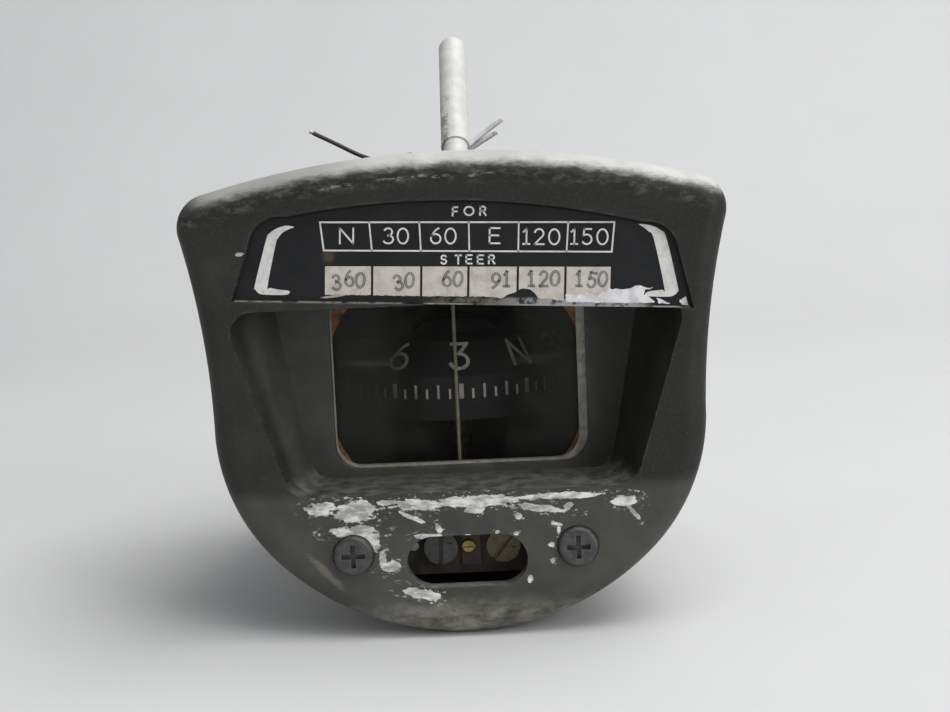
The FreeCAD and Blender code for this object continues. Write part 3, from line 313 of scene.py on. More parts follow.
# Spots of white paint: middle, radii and turn of an ellipse each, in x and z
WHITE_PAINT = (
    ((-23.1, -19.2), (2.3, 1.3), 0), ((-17.4, -19.8), (3.3, 1.8), 0), ((-12.0, -18.5), (2.3, 0.5), 0),
    ((-7.5, -19.2), (3.9, 1.0), 0), ((-8.4, -21.2), (2.3, 0.35), -25), ((2.0, -18.9), (6.3, 1.0), 0),
    ((1.6, -20.3), (1.5, 0.7), 0), ((15.7, -18.6), (7.4, 0.55), 0), ((12.2, -20.5), (4.3, 0.6), -8),
    ((26.2, -19.8), (2.0, 1.0), 0), ((27.3, -21.8), (0.35, 1.9), 38), ((16.8, -20.4), (0.8, 0.6), 20),
    ((-18.0, -23.2), (3.7, 1.0), 0), ((-15.0, -25.1), (1.3, 1.7), 0), ((-13.5, -27.9), (0.7, 1.6), 0),
    ((-12.2, -29.1), (2.0, 0.95), 0), ((-7.4, -34.0), (3.2, 0.95), -16), ((-6.2, -24.4), (2.3, 0.45), 0),
    ((-4.3, -23.1), (0.45, 0.95), 20), ((8.8, -21.7), (0.55, 0.55), 0), ((0.4, -24.7), (0.65, 0.35), 0),
    ((5.2, -24.2), (0.45, 0.35), 0), ((8.2, -24.5), (0.5, 0.33), 0), ((14.7, -23.2), (0.95, 0.33), -15),
    ((15.1, -24.3), (0.33, 0.8), 0), ((13.9, -26.6), (0.5, 0.45), 0), ((14.0, -29.3), (0.4, 0.5), 0),
    ((10.2, -32.2), (0.37, 0.6), -10), ((-26.4, 23.9), (0.5, 0.25), 10), ((-33.6, 22.5), (0.6, 0.3), 15))


# Finishes of the label, the window and the pieces behind it

def label_finish():
    """Smooth dark plate with a brown stain and an edge worn pale along the bottom."""
    f = Finish("label_plate")
    x, y, z = f.xyz()
    fine = f.noise(0.35, 4, 0.6, shift=4)
    color = f.mixed(f.between(f.noise(5, 5), 0.35, 0.7), (0.0050, 0.0055, 0.0062), (0.0088, 0.0094, 0.0104))
    color = f.over(color, (0.05, 0.05, 0.05), f.between(fine, 0.58, 0.8), 0.2)
    torn = f.calc("MULTIPLY_ADD", f.noise(0.7, 5, 0.65, shift=8), 1.6, -0.8)
    stain = f.between(f.calc("ADD", f.blotch(None, (-19.7, 21.5), (1.1, 1.2)), torn), 1.3, 0.2)
    color = f.over(color, (0.11, 0.08, 0.05), stain, 0.5)
    s, c = math.sin(LABEL_TURN), math.cos(LABEL_TURN)
    shifted = f.calc("MULTIPLY_ADD", x, -s, LABEL_X * s - LABEL_Z * c)
    height = f.calc("MULTIPLY_ADD", z, c, shifted)
    low = f.product(f.between(height, 0.34, 0.12), f.between(f.noise(2.5, 4, shift=3), 0.40, 0.56))
    color = f.mixed(low, color, (0.30, 0.29, 0.25))
    soiled = f.product(f.between(height, 1.5, 0.9), f.window(x, -6.0, 0.0, 28.0, 32.0))
    soiled = f.product(soiled, f.between(f.noise(1.6, 6, 0.7, shift=13), 0.38, 0.55))
    color = f.mixed(soiled, color, f.mixed(f.between(x, 4.0, 14.0), (0.11, 0.10, 0.07), (0.30, 0.29, 0.30)))
    streak = f.calc("ADD", f.blotch(None, (-19.4, 15.1), (2.3, 0.22), 4), f.calc("MULTIPLY", torn, 0.4))
    color = f.mixed(f.between(streak, 1.0, 0.7), color, (0.36, 0.35, 0.38))
    f.bump(fine, 0.006)
    return f.look(color, f.calc("MULTIPLY_ADD", fine, 0.3, 0.27), specular=0.3)


def print_finish(name, dark, light, roughness, wear, depth=0.01):
    """Paint of the printed lines and boxes, soiled in small specks and rubbed thin."""
    f = Finish(name)
    fine = f.noise(0.28, 4, 0.6, shift=2)
    color = f.mixed(f.between(f.noise(1.8, 6, 0.6), 0.3, 0.62), dark, light)
    specks = f.between(f.noise(0.5, 5, 0.7, shift=17), 0.60, 0.72)
    color = f.over(color, (0.09, 0.085, 0.075), specks, wear)
    f.bump(fine, depth)
    return f.look(color, roughness)


def glass_finish():
    """Clear glass under a dark film of dirt, thin in the middle and thick towards the sides, with two pale
    bands that are a painted highlight of the card's edge.
    """
    f = Finish("window_glass")
    cloud = f.noise(5, 5, 0.6, shift=2)
    dust = f.between(f.noise(0.35, 4, 0.7, shift=6), 0.63, 0.74)
    away = f.calc("ADD", f.blotch(None, (0.6, -1.0), (17.0, 30.0)), -0.25)
    away = f.calc("MULTIPLY_ADD", cloud, 0.5, away)
    film = f.calc("MULTIPLY_ADD", f.between(away, 0.45, 1.0), 0.64, 0.13)
    film = f.calc("ADD", film, f.calc("MULTIPLY", f.between(cloud, 0.35, 0.75), 0.08))
    # Painted highlight: two pale bands, laid on the glass, where the card's edge catches the light.
    card_edge_glints = f.blotch(f.blotch(None, (-14.8, 1.4), (5.8, 0.9), -4), (11.8, 0.9), (6.5, 1.0), 9)
    card_edge_glints = f.calc("MULTIPLY", f.between(card_edge_glints, 1.2, 0.0), 0.18)
    film = f.calc("ADD", f.calc("ADD", film, card_edge_glints), f.calc("MULTIPLY", dust, 0.10))
    color = f.over((0.018, 0.018, 0.014), (0.040, 0.040, 0.033), f.between(cloud, 0.45, 0.75), 0.4)
    color = f.over(color, (0.07, 0.07, 0.06), card_edge_glints, 3.0)
    color = f.over(color, (0.13, 0.125, 0.11), dust, 0.6)
    f.put(f.shader.inputs["Alpha"], film)
    return f.look(color, f.calc("MULTIPLY_ADD", cloud, 0.2, 0.12), specular=0.18)


def clear_piece(name, color, alpha):
    """Small piece of tinted glass."""
    f = Finish(name)
    tint = f.mixed(f.between(f.noise(1.5, 4), 0.35, 0.65), tuple(0.8 * c for c in color), color)
    f.bump(f.noise(0.8, 3, shift=4), 0.005)
    f.look(tint, 0.12)
    f.shader.inputs["Alpha"].default_value = alpha
    return f.material


def capsule_finish():
    """Plain casting, black inside where the liquid and the card are."""
    f = Finish("capsule_casting")
    x, y, z = f.xyz()
    cloud = f.noise(5, 6)
    color = f.mixed(f.between(cloud, 0.32, 0.68), (0.07, 0.07, 0.068), (0.15, 0.15, 0.145))
    bore = f.between(f.blotch(None, (PIVOT.x, PIVOT.z), (BORE, BORE)), 1.03, 1.01)
    bore = f.product(bore, f.between(y, PIVOT.y + 0.5, PIVOT.y))
    apart = f.node("VectorMath", operation="DISTANCE")
    f.put(apart.inputs[0], f.millimetres)
    apart.inputs[1].default_value = PIVOT
    bowl = f.between(apart.outputs["Value"], BORE + 0.9, BORE + 0.4)
    color = f.mixed(f.calc("MAXIMUM", bore, bowl), color, (0.006, 0.006, 0.006))
    f.bump(f.noise(0.3, 3, shift=3), 0.06)
    return f.look(color, 0.5)


def cork_finish():
    f = Finish("cork")
    grain = f.node("TexVoronoi")
    f.put(grain.inputs["Vector"], f.millimetres)
    grain.inputs["Scale"].default_value = 1.4
    cells = f.mixed(grain.outputs["Color"], (0.26, 0.13, 0.055), (0.12, 0.06, 0.025))
    soot = f.between(f.noise(2.2, 6, 0.65), 0.48, 0.7)
    f.bump(grain.outputs["Distance"], 0.08)
    return f.look(f.mixed(soot, cells, (0.03, 0.022, 0.014)), 0.85)


def retainer_finish():
    """Grey paint rubbed to a tan line along the edges."""
    f = Finish("retainer_paint")
    cloud = f.noise(1.6, 6, 0.65)
    fine = f.noise(0.2, 4, 0.6, shift=3)
    color = f.mixed(f.between(cloud, 0.35, 0.65), (0.23, 0.225, 0.195), (0.40, 0.385, 0.325))
    color = f.over(color, (0.36, 0.29, 0.18), f.edges(0.35, 0.85, 0.99), 0.8)
    f.bump(fine, 0.02)
    return f.look(color, 0.5)


def screw_finish():
    """Darkened screw with brass showing on the corners of its recess."""
    f = Finish("dark_screw")
    fine = f.noise(0.16, 4, 0.6)
    color = f.mixed(f.between(f.noise(1.2, 5), 0.35, 0.65), (0.030, 0.031, 0.032), (0.060, 0.060, 0.058))
    rub = f.product(f.edges(0.25, 0.80, 0.97), f.between(f.noise(0.8, 4, shift=7), 0.42, 0.58))
    color = f.over(color, (0.24, 0.21, 0.14), rub, 0.75)
    f.bump(fine, 0.015)
    return f.look(color, 0.42)


ROD_EXIT_Y, ROD_EXIT_Z = 31.0, 35.0
ROD_BACK, ROD_UP = 0.799, 0.602


def rod_finish():
    """Cream paint, chipped to grey and olive low on the rod's left side."""
    f = Finish("rod_paint")
    x, y, z = f.xyz()
    exit_along = ROD_BACK * ROD_EXIT_Y + ROD_UP * ROD_EXIT_Z
    along = f.calc("MULTIPLY_ADD", y, ROD_BACK, f.calc("MULTIPLY_ADD", z, ROD_UP, -exit_along))
    cloud = f.noise(3, 6, 0.6)
    color = f.mixed(f.between(cloud, 0.35, 0.68), (0.50, 0.50, 0.465), (0.61, 0.61, 0.585))
    chips = f.between(f.noise(1.5, 6, 0.7, shift=6, stretch=(1, 1.6, 1.6)), 0.50, 0.56)
    chips = f.product(chips, f.between(x, 0.4, -0.8), f.between(along, 18.0, 13.0))
    color = f.over(color, (0.24, 0.235, 0.19), chips, 0.85)
    bare = f.between(f.noise(0.7, 5, 0.7, shift=27), 0.66, 0.70)
    color = f.over(color, (0.30, 0.29, 0.27), bare, 0.7)
    f.bump(f.calc("SUBTRACT", f.calc("MULTIPLY", cloud, 0.3), chips), 0.05)
    return f.look(color, f.calc("MULTIPLY_ADD", cloud, 0.25, 0.32))


def make_finishes():
    made = {
        "cover_front": cover_finish(True), "cover_rear": cover_finish(False),
        "label": label_finish(), "glass": glass_finish(), "cork": cork_finish(),
        "retainer": retainer_finish(), "screw": screw_finish(),
        "rod": rod_finish(), "casting": capsule_finish(),
        "print": print_finish("white_print", (0.52, 0.51, 0.49), (0.66, 0.65, 0.62), 0.5, 0.5),
        "boxes": print_finish("box_white", (0.42, 0.39, 0.34), (0.54, 0.50, 0.45), 0.6, 0.7),
        "torn": print_finish("torn_white", (0.50, 0.49, 0.51), (0.74, 0.72, 0.74), 0.6, 0.6, 0.12),
        "ink": print_finish("pencil_grey", (0.085, 0.085, 0.075), (0.15, 0.145, 0.13), 0.6, 0.2),
        "ink_core": print_finish("pencil_rubbed", (0.22, 0.215, 0.19), (0.32, 0.31, 0.28), 0.6, 0.2),
        "ticks": print_finish("graduation_paint", (0.78, 0.76, 0.70), (0.90, 0.88, 0.81), 0.7, 0.3),
        "numerals": print_finish("numeral_paint", (0.66, 0.64, 0.58), (0.82, 0.80, 0.73), 0.7, 0.4),
        "lens": clear_piece("lamp_lens", (0.50, 0.07, 0.03), 0.7),
        "bulb": clear_piece("lamp_bulb", (0.62, 0.60, 0.54), 0.35),
        "jewel": clear_piece("jewel_red", (0.42, 0.02, 0.05), 0.85),
    }
    # Dark and light colour, roughness, metal, size of the clouds, size and depth of the grain, stretch
    plain = {
        "lead_black": ((0.012, 0.012, 0.012), (0.03, 0.03, 0.03), 0.5, 0.0, 1.5, 0.12, 0.01),
        "lead_white": ((0.36, 0.37, 0.38), (0.55, 0.55, 0.53), 0.5, 0.0, 1.5, 0.12, 0.01),
        "strands": ((0.36, 0.33, 0.27), (0.58, 0.55, 0.48), 0.4, 0.9, 0.8, 0.1, 0.01),
        "bracket": ((0.14, 0.14, 0.135), (0.24, 0.24, 0.23), 0.5, 0.3, 4.0, 0.3, 0.05),
        "steel": ((0.22, 0.22, 0.22), (0.42, 0.42, 0.41), 0.38, 1.0, 2.0, 0.12, 0.01, (1, 5, 1)),
        "magnet": ((0.08, 0.08, 0.085), (0.17, 0.17, 0.17), 0.45, 0.8, 2.0, 0.1, 0.012),
        "brass": ((0.20, 0.15, 0.06), (0.42, 0.32, 0.14), 0.42, 0.9, 1.6, 0.12, 0.012),
        "dark_brass": ((0.04, 0.032, 0.016), (0.08, 0.062, 0.03), 0.45, 0.6, 3.0, 0.3, 0.01),
        "thin_brass": ((0.26, 0.20, 0.08), (0.50, 0.39, 0.17), 0.38, 0.9, 6.0, 0.3, 0.01, (1, 1, 4)),
        "cream": ((0.30, 0.26, 0.19), (0.46, 0.41, 0.31), 0.6, 0.0, 1.2, 0.1, 0.01),
        "adjuster_grey": ((0.045, 0.045, 0.042), (0.10, 0.10, 0.093), 0.5, 0.3, 1.3, 0.12, 0.015),
        "adjuster_brass": ((0.07, 0.06, 0.034), (0.15, 0.125, 0.07), 0.45, 0.4, 1.3, 0.12, 0.015),
        "frame_brown": ((0.018, 0.013, 0.008), (0.055, 0.037, 0.022), 0.6, 0.0, 2.0, 0.2, 0.04),
        "float_grey": ((0.07, 0.07, 0.065), (0.12, 0.12, 0.11), 0.6, 0.0, 4.0, 0.2, 0.01),
        "card_black": ((0.010, 0.010, 0.010), (0.022, 0.022, 0.020), 0.65, 0.0, 3.0, 0.15, 0.01),
        "rubber": ((0.010, 0.010, 0.010), (0.028, 0.027, 0.026), 0.75, 0.0, 1.5, 0.15, 0.02),
    }
    for name, values in plain.items():
        made[name] = speckled(name, *values)
    return made


FINISH_NODES = {
    "cover_front": "front_cover", "cover_rear": "rear_cover", "label": "deviation_card",
    "glass": "window_glass", "cork": "window_gasket filler_gasket", "retainer": "window_retainer",
    "screw": "cover_screws rear_cover_screws", "rod": "mount_rod", "casting": "capsule_body",
    "bracket": "rod_bracket", "lens": "lamp_lens", "bulb": "lamp_bulb", "jewel": "jewel",
    "cream": "lubber_line", "float_grey": "float_chamber", "card_black": "compass_card",
    "rubber": "wire_grommet", "dark_brass": "expansion_diaphragm", "thin_brass": "diaphragm_cover",
    "brass": "diaphragm_screws filler_plug jewel_post jewel_cup compensator_screw lamp_socket "
             "ew_drive_gear ns_drive_gear ew_idler_gear ns_idler_gear",
    "frame_brown": "compensator_frame", "adjuster_grey": "ew_adjuster", "adjuster_brass": "ns_adjuster",
    "magnet": "card_magnets ew_drive_magnet ns_drive_magnet ew_idler_magnet ns_idler_magnet",
    "lead_white": "lamp_leads",
}


def dress_nodes(finishes):
    """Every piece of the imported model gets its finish; what isn't listed is plain steel."""
    listed = {node: finish for finish, nodes in FINISH_NODES.items() for node in nodes.split()}
    for name, piece in NODES.items():
        finish = finishes[listed.get(name, "steel")]
        for slot in piece.material_slots:
            slot.material = finish


# Camera, floor and light

CAMERA_PLACE = (2.8, -272.5, 45)
CAMERA_PITCH, CAMERA_ROLL = math.radians(8.56), math.radians(-2.45)
CAMERA_LENS, CAMERA_SENSOR = 64.42, 36


def make_camera():
    """Camera at the photograph's place and angle."""
    pitch, roll = CAMERA_PITCH, CAMERA_ROLL
    forward = Vector((0, math.cos(pitch), -math.sin(pitch)))
    right = Vector((1, 0, 0))
    up = right.cross(forward)
    side = right * math.cos(roll) + up * math.sin(roll)
    top = up * math.cos(roll) - right * math.sin(roll)
    data = bpy.data.cameras.new("camera")
    data.sensor_width = CAMERA_SENSOR
    data.lens = CAMERA_LENS
    data.clip_start = 0.01
    camera = bpy.data.objects.new("camera", data)
    turn = Matrix((side, top, -forward)).transposed().to_4x4()
    camera.matrix_world = Matrix.Translation(at(*CAMERA_PLACE)) @ turn
    bpy.context.scene.collection.objects.link(camera)
    bpy.context.scene.camera = camera


def area_light(name, place, target, size, power):
    data = bpy.data.lights.new(name, "AREA")
    data.shape = "RECTANGLE"
    data.size, data.size_y = size
    data.energy = power
    lamp = bpy.data.objects.new(name, data)
    lamp.location = place
    lamp.rotation_euler = (Vector(target) - Vector(place)).to_track_quat("-Z", "Y").to_euler()
    bpy.context.scene.collection.objects.link(lamp)


def make_surroundings():
    """Pale floor that curves up into a backdrop, an even world and three soft lamps; lengths in metres."""
    low = cad_box[0].z - 0.0002
    bend_start, bend_r, steps = 0.30, 0.25, 12
    shape = bmesh.new()
    rows = []
    profile = [(-1.2, 0.0), (bend_start, 0.0)]
    for step in range(1, steps + 1):
        angle = math.radians(90 * step / steps)
        profile.append((bend_start + bend_r * math.sin(angle), bend_r - bend_r * math.cos(angle)))
    profile.append((bend_start + bend_r, 1.6))
    for y, z in profile:
        rows.append([shape.verts.new((x, y, low + z)) for x in (-1.6, 1.6)])
    for a, b in zip(rows, rows[1:]):
        shape.faces.new((a[0], a[1], b[1], b[0]))
    floor = mesh_object("floor", shape)
    for face in floor.data.polygons:
        face.use_smooth = True
    f = Finish("floor_paper")
    f.look(f.mixed(f.noise(40, 3), (0.60, 0.60, 0.60), (0.63, 0.63, 0.63)), 0.9)
    floor.data.materials.append(f.material)
    world = bpy.data.worlds.new("world")
    bpy.context.scene.world = world
    world.use_nodes = True
    world.node_tree.nodes["Background"].inputs[0].default_value = (0.93, 0.96, 1.0, 1)
    world.node_tree.nodes["Background"].inputs[1].default_value = 0.30
    area_light("lamp_above", (0.28, -0.12, 0.75), (0, 0, 0), (0.9, 0.6), 7.5)
    area_light("lamp_right", (0.62, -0.60, 0.30), (0, 0, -0.03), (0.5, 0.5), 3.2)
    area_light("lamp_left", (-0.60, -0.70, 0.20), (0, 0, -0.04), (0.5, 0.4), 0.5)


def mesh_object(name, shape, material=None):
    """Object at the origin from a bmesh, with its faces turned outwards."""
    bmesh.ops.recalc_face_normals(shape, faces=shape.faces)
    data = bpy.data.meshes.new(name)
    shape.to_mesh(data)
    shape.free()
    made = bpy.data.objects.new(name, data)
    bpy.context.scene.collection.objects.link(made)
    if material:
        data.materials.append(material)
    return made


# Letters and numbers, as thin raised strokes

def bow(u, v, ru, rv, start, end, steps=14):
    """Points of an oval arc; angles in degrees from +u towards +v."""
    turns = [math.radians(start + (end - start) * i / steps) for i in range(steps + 1)]
    return [(u + ru * math.cos(a), v + rv * math.sin(a)) for a in turns]


def oval(width):
    return bow(width / 2, 0.5, width / 2, 0.5, 90, 450, 24)[:-1]


SIX = [(0.50, 1.0), (0.34, 0.90), (0.18, 0.72), (0.06, 0.50)] + bow(0.32, 0.31, 0.32, 0.31, 165, 510, 22)
ROUND_THREE = bow(0.30, 0.76, 0.26, 0.24, 150, -90) + bow(0.30, 0.27, 0.33, 0.27, 90, -150)
GLYPHS = {
    "0": (0.70, [oval(0.70)]),
    "1": (0.40, [[(0.02, 0.80), (0.22, 1.0)], [(0.22, 1.0), (0.22, 0)], [(0, 0), (0.42, 0)]]),
    "2": (0.58, [bow(0.29, 0.71, 0.29, 0.29, 165, -40) + [(0, 0)], [(0, 0), (0.60, 0)]]),
    "3": (0.62, [ROUND_THREE]),
    "4": (0.66, [[(0.5, 0), (0.5, 1)], [(0.5, 1), (0, 0.28)], [(0, 0.28), (0.68, 0.28)]]),
    "5": (0.60, [[(0.56, 1), (0.10, 1)], [(0.10, 1), (0.06, 0.56)], bow(0.28, 0.32, 0.32, 0.32, 130, -145)]),
    "6": (0.64, [SIX]),
    "9": (0.64, [[(0.64 - u, 1 - v) for u, v in SIX]]),
    "flat 3": (0.60, [[(0, 1), (0.60, 1)], [(0.60, 1), (0.28, 0.60)], bow(0.27, 0.30, 0.32, 0.30, 88, -160)]),
    "N": (0.88, [[(0, 0), (0, 1)], [(0, 1), (0.88, 0)], [(0.88, 0), (0.88, 1)]]),
    "E": (0.66, [[(0, 0), (0, 1)], [(0, 1), (0.66, 1)], [(0, 0.52), (0.58, 0.52)], [(0, 0), (0.66, 0)]]),
    "F": (0.56, [[(0, 0), (0, 1)], [(0, 1), (0.56, 1)], [(0, 0.5), (0.48, 0.5)]]),
    "O": (1.10, [oval(1.10)]),
    "R": (0.68, [[(0, 0), (0, 1)], [(0, 1), (0.36, 1)] + bow(0.36, 0.75, 0.26, 0.25, 90, -90) + [(0, 0.5)],
                 [(0.32, 0.5), (0.68, 0)]]),
    "S": (0.60, [bow(0.30, 0.75, 0.28, 0.25, 30, 270) + bow(0.30, 0.26, 0.31, 0.26, 90, -155)[1:]]),
    "T": (0.64, [[(0, 1), (0.64, 1)], [(0.32, 1), (0.32, 0)]]),
    "W": (1.05, [[(0, 1), (0.27, 0)], [(0.27, 0), (0.52, 0.85)],
                 [(0.52, 0.85), (0.78, 0)], [(0.78, 0), (1.05, 1)]]),
}
PRINT_FOOT = 0.005


def stroke(shape, line, width, place, relief=0.03, closed=False):
    """Flat raised bar of even width along a line of (u, v) points."""
    line = [Vector(p) for p in line]
    if not closed:
        line[0] = line[0] + (line[0] - line[1]).normalized() * width * 0.45
        line[-1] = line[-1] + (line[-1] - line[-2]).normalized() * width * 0.45
    rails = []
    for i, here in enumerate(line):
        runs = []
        if closed or i > 0:
            runs.append((here - line[i - 1]).normalized())
        if closed or i < len(line) - 1:
            runs.append((line[(i + 1) % len(line)] - here).normalized())
        along = sum(runs, Vector((0, 0))).normalized()
        across = Vector((-along.y, along.x))
        reach = across * (width / 2 / max(0.6, along.dot(runs[0])))
        rails.append([shape.verts.new(place(*side, height))
                      for side in (here + reach, here - reach) for height in (relief, PRINT_FOOT)])
    for i in range(len(rails) if closed else len(rails) - 1):
        a, b = rails[i], rails[(i + 1) % len(rails)]
        for p, q in ((0, 2), (3, 1), (1, 0), (2, 3)):
            shape.faces.new((a[p], b[p], b[q], a[q]))
    if not closed:
        for end in (rails[0], rails[-1]):
            shape.faces.new((end[0], end[1], end[3], end[2]))


def divided(line, step):
    """The same line with more points on its long runs, so that it follows a curved ground."""
    made = [line[0]]
    for (u0, v0), (u1, v1) in zip(line, line[1:]):
        count = max(1, math.ceil(math.hypot(u1 - u0, v1 - v0) / step))
        made += [(u0 + (u1 - u0) * k / count, v0 + (v1 - v0) * k / count) for k in range(1, count + 1)]
    return made


def plate(shape, outline, place, relief=0.03):
    """Thin flat piece with the given outline."""
    top = [shape.verts.new(place(u, v, relief)) for u, v in outline]
    foot = [shape.verts.new(place(u, v, PRINT_FOOT)) for u, v in outline]
    shape.faces.new(top)
    shape.faces.new(foot[::-1])
    for i in range(len(top)):
        k = (i + 1) % len(top)
        shape.faces.new((top[i], foot[i], foot[k], top[k]))


def glyph(shape, sign, u, v, height, width, place, turn=0.0, relief=0.03, squeeze=1.0):
    """One letter or number with its middle at (u, v)."""
    wide, strokes = GLYPHS[sign]
    c, s = math.cos(math.radians(turn)), math.sin(math.radians(turn))
    for line in strokes:
        moved = []
        for a, b in divided(line, 0.12):
            a, b = (a - wide / 2) * height * squeeze, (b - 0.5) * height
            moved.append((u + a * c - b * s, v + a * s + b * c))
        stroke(shape, moved, width, place, relief, closed=line[0] == line[-1] or sign in "0O")


def word(shape, text, u, v, height, width, place, gap=0.34, **others):
    """Letters side by side, with the middle of the whole at (u, v)."""
    wides = [GLYPHS[sign][0] * height for sign in text]
    start = u - (sum(wides) + gap * height * (len(text) - 1)) / 2
    for sign, wide in zip(text, wides):
        glyph(shape, sign, start + wide / 2, v, height, width, place, **others)
        start += wide + gap * height


# Print and paint of the deviation card

LABEL_X, LABEL_Z, LABEL_Y = 1.2, 12.9, -3.9
LABEL_TURN = math.radians(-3.2)
HEADING_SIZE, TITLE_SIZE, PRINT_WIDTH = 2.4, 1.33, 0.27
FRAME_WIDTH, BAR_WIDTH = 0.26, 0.24
WRITTEN_SIZE, WRITTEN_SQUEEZE = 2.3, 0.82
HEADINGS = (("N", -18.5, 10.7), ("30", -10.7, 10.8), ("60", -3.2, 10.9), ("E", 4.9, 11.05),
            ("120", 12.3, 11.0), ("150", 19.9, 11.1))
TITLES = (("F", -1.4, 14.8), ("O", 0.8, 14.9), ("R", 3.0, 14.95), ("S", -3.1, 7.15), ("T", -0.8, 7.2),
          ("E", 0.9, 7.25), ("E", 2.7, 7.25), ("R", 4.5, 7.3))
WRITTEN = (("3", -20.1, 3.3, 6), ("6", -18.1, 3.9, 10), ("0", -16.3, 3.7, -4), ("3", -10.3, 3.4, 14),
           ("0", -8.5, 3.8, -6), ("6", -2.6, 4.1, 4), ("0", -0.8, 4.1, -8), ("9", 5.2, 3.9, -6),
           ("1", 6.9, 4.2, 0), ("1", 10.8, 4.3, 2), ("2", 12.8, 4.3, 0), ("0", 14.6, 4.4, -4),
           ("1", 18.4, 4.4, 0), ("5", 20.5, 4.2, -10), ("0", 22.2, 4.4, -6))
TABLE_CORNERS = ((-22.1, 8.35), (23.5, 8.75), (23.8, 13.45), (-22.7, 12.8))
TABLE_BARS = (0, 0.167, 0.337, 0.505, 0.675, 0.843, 1)
BOX_BARS = (0, 0.165, 0.337, 0.502, 0.675, 0.842, 1)
BOX_LEFT, BOX_RIGHT, BOX_GAP = -21.9, 23.4, 0.38
BOX_TOP, BOX_SLOPE = 5.8511, 0.011
BOX_LOW = ((-22, 1.3), (-15, 1.35), (-8, 1.3), (4, 1.35), (6.3, 1.1), (6.8, 1.6), (8.3, 2.1), (9.3, 2.7),
           (10.5, 2.7), (11.5, 1.9), (12.0, 1.2), (16, 0.9), (24, 1.1))
LEFT_BRACKET = ((-26.8, 12.0), (-28.1, 12.2), (-29.6, 11.7), (-30.7, 10.9), (-31.2, 9.9), (-33.0, 2.8),
                (-32.9, 2.0), (-32.4, 1.4), (-31.4, 1.2), (-28.2, 1.2), (-27.5, 1.6), (-27.7, 1.9),
                (-28.9, 2.0), (-30.6, 2.3), (-31.0, 2.6), (-29.7, 9.2), (-29.3, 10.2), (-28.6, 11.1),
                (-27.5, 11.7))
RIGHT_BRACKET = ((27.7, 13.2), (29.6, 13.0), (31.1, 12.3), (32.1, 11.0), (34.1, 3.5), (34.1, 2.5),
                 (33.5, 1.9), (32.4, 1.7), (29.1, 1.8), (29.5, 2.5), (31.6, 2.8), (32.0, 3.2),
                 (30.1, 10.9), (29.3, 12.0), (28.4, 12.7))
TORN_SEED = 20
TORN_PAINT = (
    ((16.3, 1.9), (18.0, 1.8), (19.7, 2.1), (21.4, 1.7), (23.2, 2.9), (24.8, 2.8), (26.7, 3.0), (27.5, 3.5),
     (28.5, 3.4), (29.0, 3.1), (30.3, 3.1), (28.9, 2.7), (28.8, 1.9), (29.6, 1.7), (30.6, 0.8), (28.3, 0.7),
     (26.3, 0.6), (24.4, 0.6), (22.9, 0.7), (21.5, 0.6), (19.5, 0.7), (18.1, 0.6), (16.4, 0.7)),
    ((30.8, 1.5), (31.9, 1.2), (32.9, 0.6), (31.2, 0.6)),
    ((34.4, 1.0), (35.4, 1.9), (35.7, 1.0), (35.9, 0.3), (34.9, 0.4)))


def on_label(u, v, height):
    """Placing on the card's front, with u along it and v up it."""
    c, s = math.cos(LABEL_TURN), math.sin(LABEL_TURN)
    return at(LABEL_X + u * c - v * s, LABEL_Y - height, LABEL_Z + u * s + v * c)


def rounded(outline, steps=4):
    """Closed smooth outline through the given points."""
    points = [Vector(p) for p in outline]
    made = []
    for i, b in enumerate(points):
        a, c, d = points[i - 1], points[(i + 1) % len(points)], points[(i + 2) % len(points)]
        for k in range(steps):
            t = k / steps
            made.append(0.5 * (2 * b + (c - a) * t + (2 * a - 5 * b + 4 * c - d) * t * t
                               + (3 * b - a - 3 * c + d) * t * t * t))
    return made


def ragged(outline, step, amount, seed):
    """Closed outline with extra points, moved at random."""
    chance = random.Random(seed)
    made = []
    for i, a in enumerate(outline):
        a, b = Vector(a), Vector(outline[(i + 1) % len(outline)])
        count = max(1, round((b - a).length / step))
        for k in range(count):
            drift = Vector((chance.uniform(-amount, amount), chance.uniform(-amount, amount)))
            made.append(a.lerp(b, k / count) + drift)
    return made


def height_at(points, u):
    """Height of a line of (u, v) points at u."""
    for (u0, v0), (u1, v1) in zip(points, points[1:]):
        if u <= u1:
            return v0 + (v1 - v0) * (u - u0) / (u1 - u0)
    return points[-1][1]


def box_outline(left, right, seed):
    """White box of the card, straight above and chipped below."""
    chance = random.Random(seed)
    top = [(u, BOX_TOP + BOX_SLOPE * (u - BOX_LEFT)) for u in (left, right)]
    steps = 24
    low = []
    for i in range(steps + 1):
        u = right + (left - right) * i / steps
        low.append((u, height_at(BOX_LOW, u) + chance.uniform(-0.07, 0.05)))
    return top + low


def print_piece(name, shape, material):
    made = mesh_object(name, shape, material)
    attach(made, "case")
    return made


